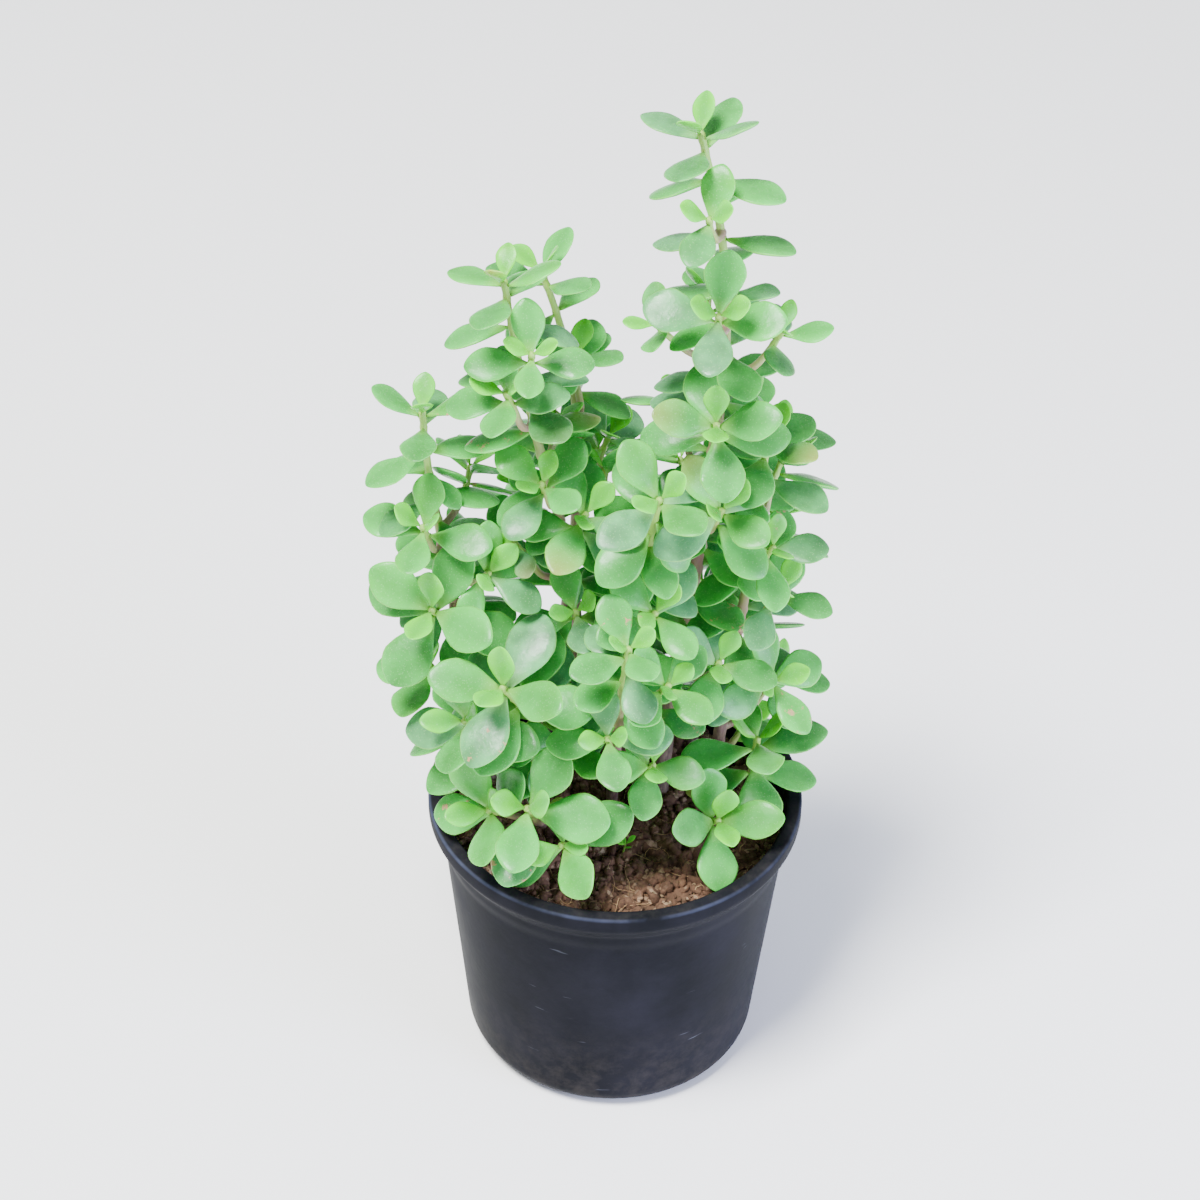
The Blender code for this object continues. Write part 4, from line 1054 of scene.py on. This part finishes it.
def grow(shoot, seed):
    """Makes the two pieces of a stem or side shoot: its wood, and its leaves as one piece."""
    rooted = shoot.name in by_name
    places = place_leaves(shoot.name, routes[shoot.name], shoot.roll, shoot.leaf, shoot.pairs,
                          shoot.internode,
                          SHOOT_TIP_RADIUS, taken, solids)
    route = routes[shoot.name]
    if rooted:
        start = route[0] - Vector((0, 0, ROOT_DEPTH))
        radii = shoot.foot_radius, shoot.tip_radius
        collar, age = 0.0, 1.0
    else:
        start = point_at_height(routes[shoot.parent], shoot.height)[0]
        radii = SHOOT_RADIUS, SHOOT_TIP_RADIUS
        collar, age = COLLAR_SWELL, SHOOT_AGE
    verts, faces, ages = stem_surface([start, *route], *radii, pair_distances(shoot), collar, seed)
    stem_piece = surface(f"{shoot.name}_wood", verts * MM, faces, [bark])
    give(stem_piece, {"age": ages * age, "wood": ages if rooted else ages * age * SHOOT_WOOD})
    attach(stem_piece, "root")
    chance = np.random.default_rng(100 + seed)
    verts, faces, values = leaf_surfaces([place for pair, place in places],
                                         [pair for pair, place in places], chance)
    leaf_piece = surface(f"{shoot.name}_leaves", verts * MM, faces, [leaf_skin])
    give(leaf_piece, values)
    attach(leaf_piece, "root")
    return stem_piece


for k, shoot in enumerate((*SHOOTS, *STEMS)):
    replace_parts(grow(shoot, k), shoot.name)

# ---- Sprigs ---------------------------------------------------------------------------------------------
# Short leafy side shoots low on the stems and round the shaded back, which fill the plant in. They are more
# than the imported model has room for, so they are modelled only here: parent, height in mm, and azimuth.

SPRIG_LENGTH = 13.0
SPRIG_RISE = 38
SPRIGS = (
    ("back_right_stem", 110, 150), ("back_right_stem", 124, 240), ("back_right_stem", 150, 110),
    ("back_stem", 108, 160), ("back_stem", 122, 230), ("back_stem", 156, 190), ("back_stem", 222, 200),
    ("slender_stem", 110, 190), ("slender_stem", 138, 210), ("slender_stem", 234, 160),
    ("left_stem", 108, 250), ("left_stem", 122, 110), ("left_stem", 164, 250), ("left_stem", 190, 100),
    ("right_stem", 108, 120), ("right_stem", 136, 170), ("right_stem", 162, 130), ("right_stem", 188, 150),
    ("tall_stem", 114, 180), ("tall_stem", 134, 200), ("tall_stem", 172, 170), ("tall_stem", 198, 190),
    ("tall_stem", 240, 150), ("middle_stem", 112, 200), ("middle_stem", 144, 170), ("middle_stem", 166,
                                                                                    210),
)


def sprig(name, parent, height, azimuth):
    """A sprig that leans out from its parent. It is turned until its wood is clear of the leaves and of the
    other stems. None where there is no room."""
    joint = point_at_height(routes[parent], height)[0]
    for turned_by in (0, 25, -25, 50, -50, 75, -75):
        towards = azimuth + turned_by
        tip = joint + facing(towards, SPRIG_RISE) * SPRIG_LENGTH
        shoot = Shoot(name, parent, height, tip, towards, 50, height, 22, 3, 6)
        route = shoot_route(shoot, by_name[parent], routes[parent])
        solid = tube_tree(route, SHOOT_RADIUS, SHOOT_TIP_RADIUS)
        touched = [owner for owner, other in solids.items() if owner != parent and solid.overlap(other)]
        if not touched and not any(solid.overlap(whole) for owner, whole, blade in taken):
            routes[name], solids[name] = route, solid
            return shoot
    return None


for k, (parent, height, azimuth) in enumerate(SPRIGS):
    shoot = sprig(f"sprig_{k + 1}", parent, height, azimuth)
    if shoot:
        grow(shoot, 60 + k)

# ---- Seedling -------------------------------------------------------------------------------------------
# A tiny self-sown sprout on the bare mix. It is living tissue like the shoots: a thread of a stem, and two
# crossed pairs of seed leaves at its tip.

SEEDLING = Vector((3.0, -20.0, 90.0))
sprout = [SEEDLING, SEEDLING + Vector((0.3, -0.2, 3.5)), SEEDLING + Vector((0.9, -0.9, 7.5))]
verts, faces, ages = stem_surface(sprout, 0.4, 0.3, [], 0.0, 5)
seedling_stem = surface("seedling_stem", verts * MM, faces, [bark])
give(seedling_stem, {"age": ages * 0, "wood": ages * 0})
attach(seedling_stem, "root")
places = [leaf_matrix(sprout[2] - Vector((0, 0, pair)), Vector((0, 0, 1)), 25 + 90 * pair + side, 55,
                      4.2 - pair * 0.6, 0.3)
          for pair in (0, 1) for side in (0, 180)]
verts, faces, values = leaf_surfaces(places, [0, 0, 0, 0], np.random.default_rng(7))
seedling_leaves = surface("seedling_leaves", verts * MM, faces, [leaf_skin])
give(seedling_leaves, values)
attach(seedling_leaves, "root")

# ---- Studio ---------------------------------------------------------------------------------------------
# A pale matt floor in an even white room. A broad soft light hangs high over the left shoulder, and a
# weaker bluish one stands low on the right.

FLOOR_SIZE = 6.0
half = FLOOR_SIZE / 2
corners = np.array([(-half, -half, 0), (half, -half, 0), (half, half, 0), (-half, half, 0)])
# Matt paper: rough enough that the pot leaves a soft shadow on it and no reflection.
paper, tree, shader = new_material("pale_floor")
shader.inputs["Base Color"].default_value = srgb("#FAFAF8")
shader.inputs["Roughness"].default_value = 0.9
floor = surface("floor", corners, [[(0, 1, 2, 3)]], [paper])

world = bpy.data.worlds.new("even_room")
bpy.context.scene.world = world
world.use_nodes = True
sky = world.node_tree.nodes["Background"]
sky.inputs["Color"].default_value = srgb("#F4F8FF")
sky.inputs["Strength"].default_value = 0.74


def softbox(name, place, target, size, power, colour):
    """A square area light at place, in metres, turned to face target."""
    light = bpy.data.lights.new(name, "AREA")
    light.size = size
    light.energy = power
    light.color = srgb(colour)[:3]
    holder = bpy.data.objects.new(name, light)
    holder.location = place
    holder.rotation_euler = (Vector(target) - Vector(place)).to_track_quat("-Z", "Y").to_euler()
    bpy.context.scene.collection.objects.link(holder)


softbox("key_light", (-0.6, -0.7, 2.3), (0, 0, 0.18), 0.75, 172, "#FFFFFF")
softbox("side_light", (0.95, -0.62, 0.4), (0, 0, 0.08), 0.6, 28, "#CCD4FF")

# The camera looks down from nearly three plant heights away, turned a little on its own axis.
CAMERA_PLACE = (0.0, -0.73903, 0.77682)
CAMERA_LENS = 89.56
CAMERA_TILT = 38.75
CAMERA_TURN = -0.503
CAMERA_ROLL = 1.262
camera = bpy.data.cameras.new("camera")
camera.sensor_width = 36.0
camera.lens = CAMERA_LENS
camera.clip_start = 0.01
view = bpy.data.objects.new("camera", camera)
turn = Matrix.Rotation(math.radians(-CAMERA_TURN), 4, "Z")
tilt = Matrix.Rotation(math.radians(90 - CAMERA_TILT), 4, "X")
roll = Matrix.Rotation(math.radians(CAMERA_ROLL), 4, "Z")
view.matrix_world = Matrix.Translation(CAMERA_PLACE) @ turn @ tilt @ roll
bpy.context.scene.collection.objects.link(view)
bpy.context.scene.camera = view
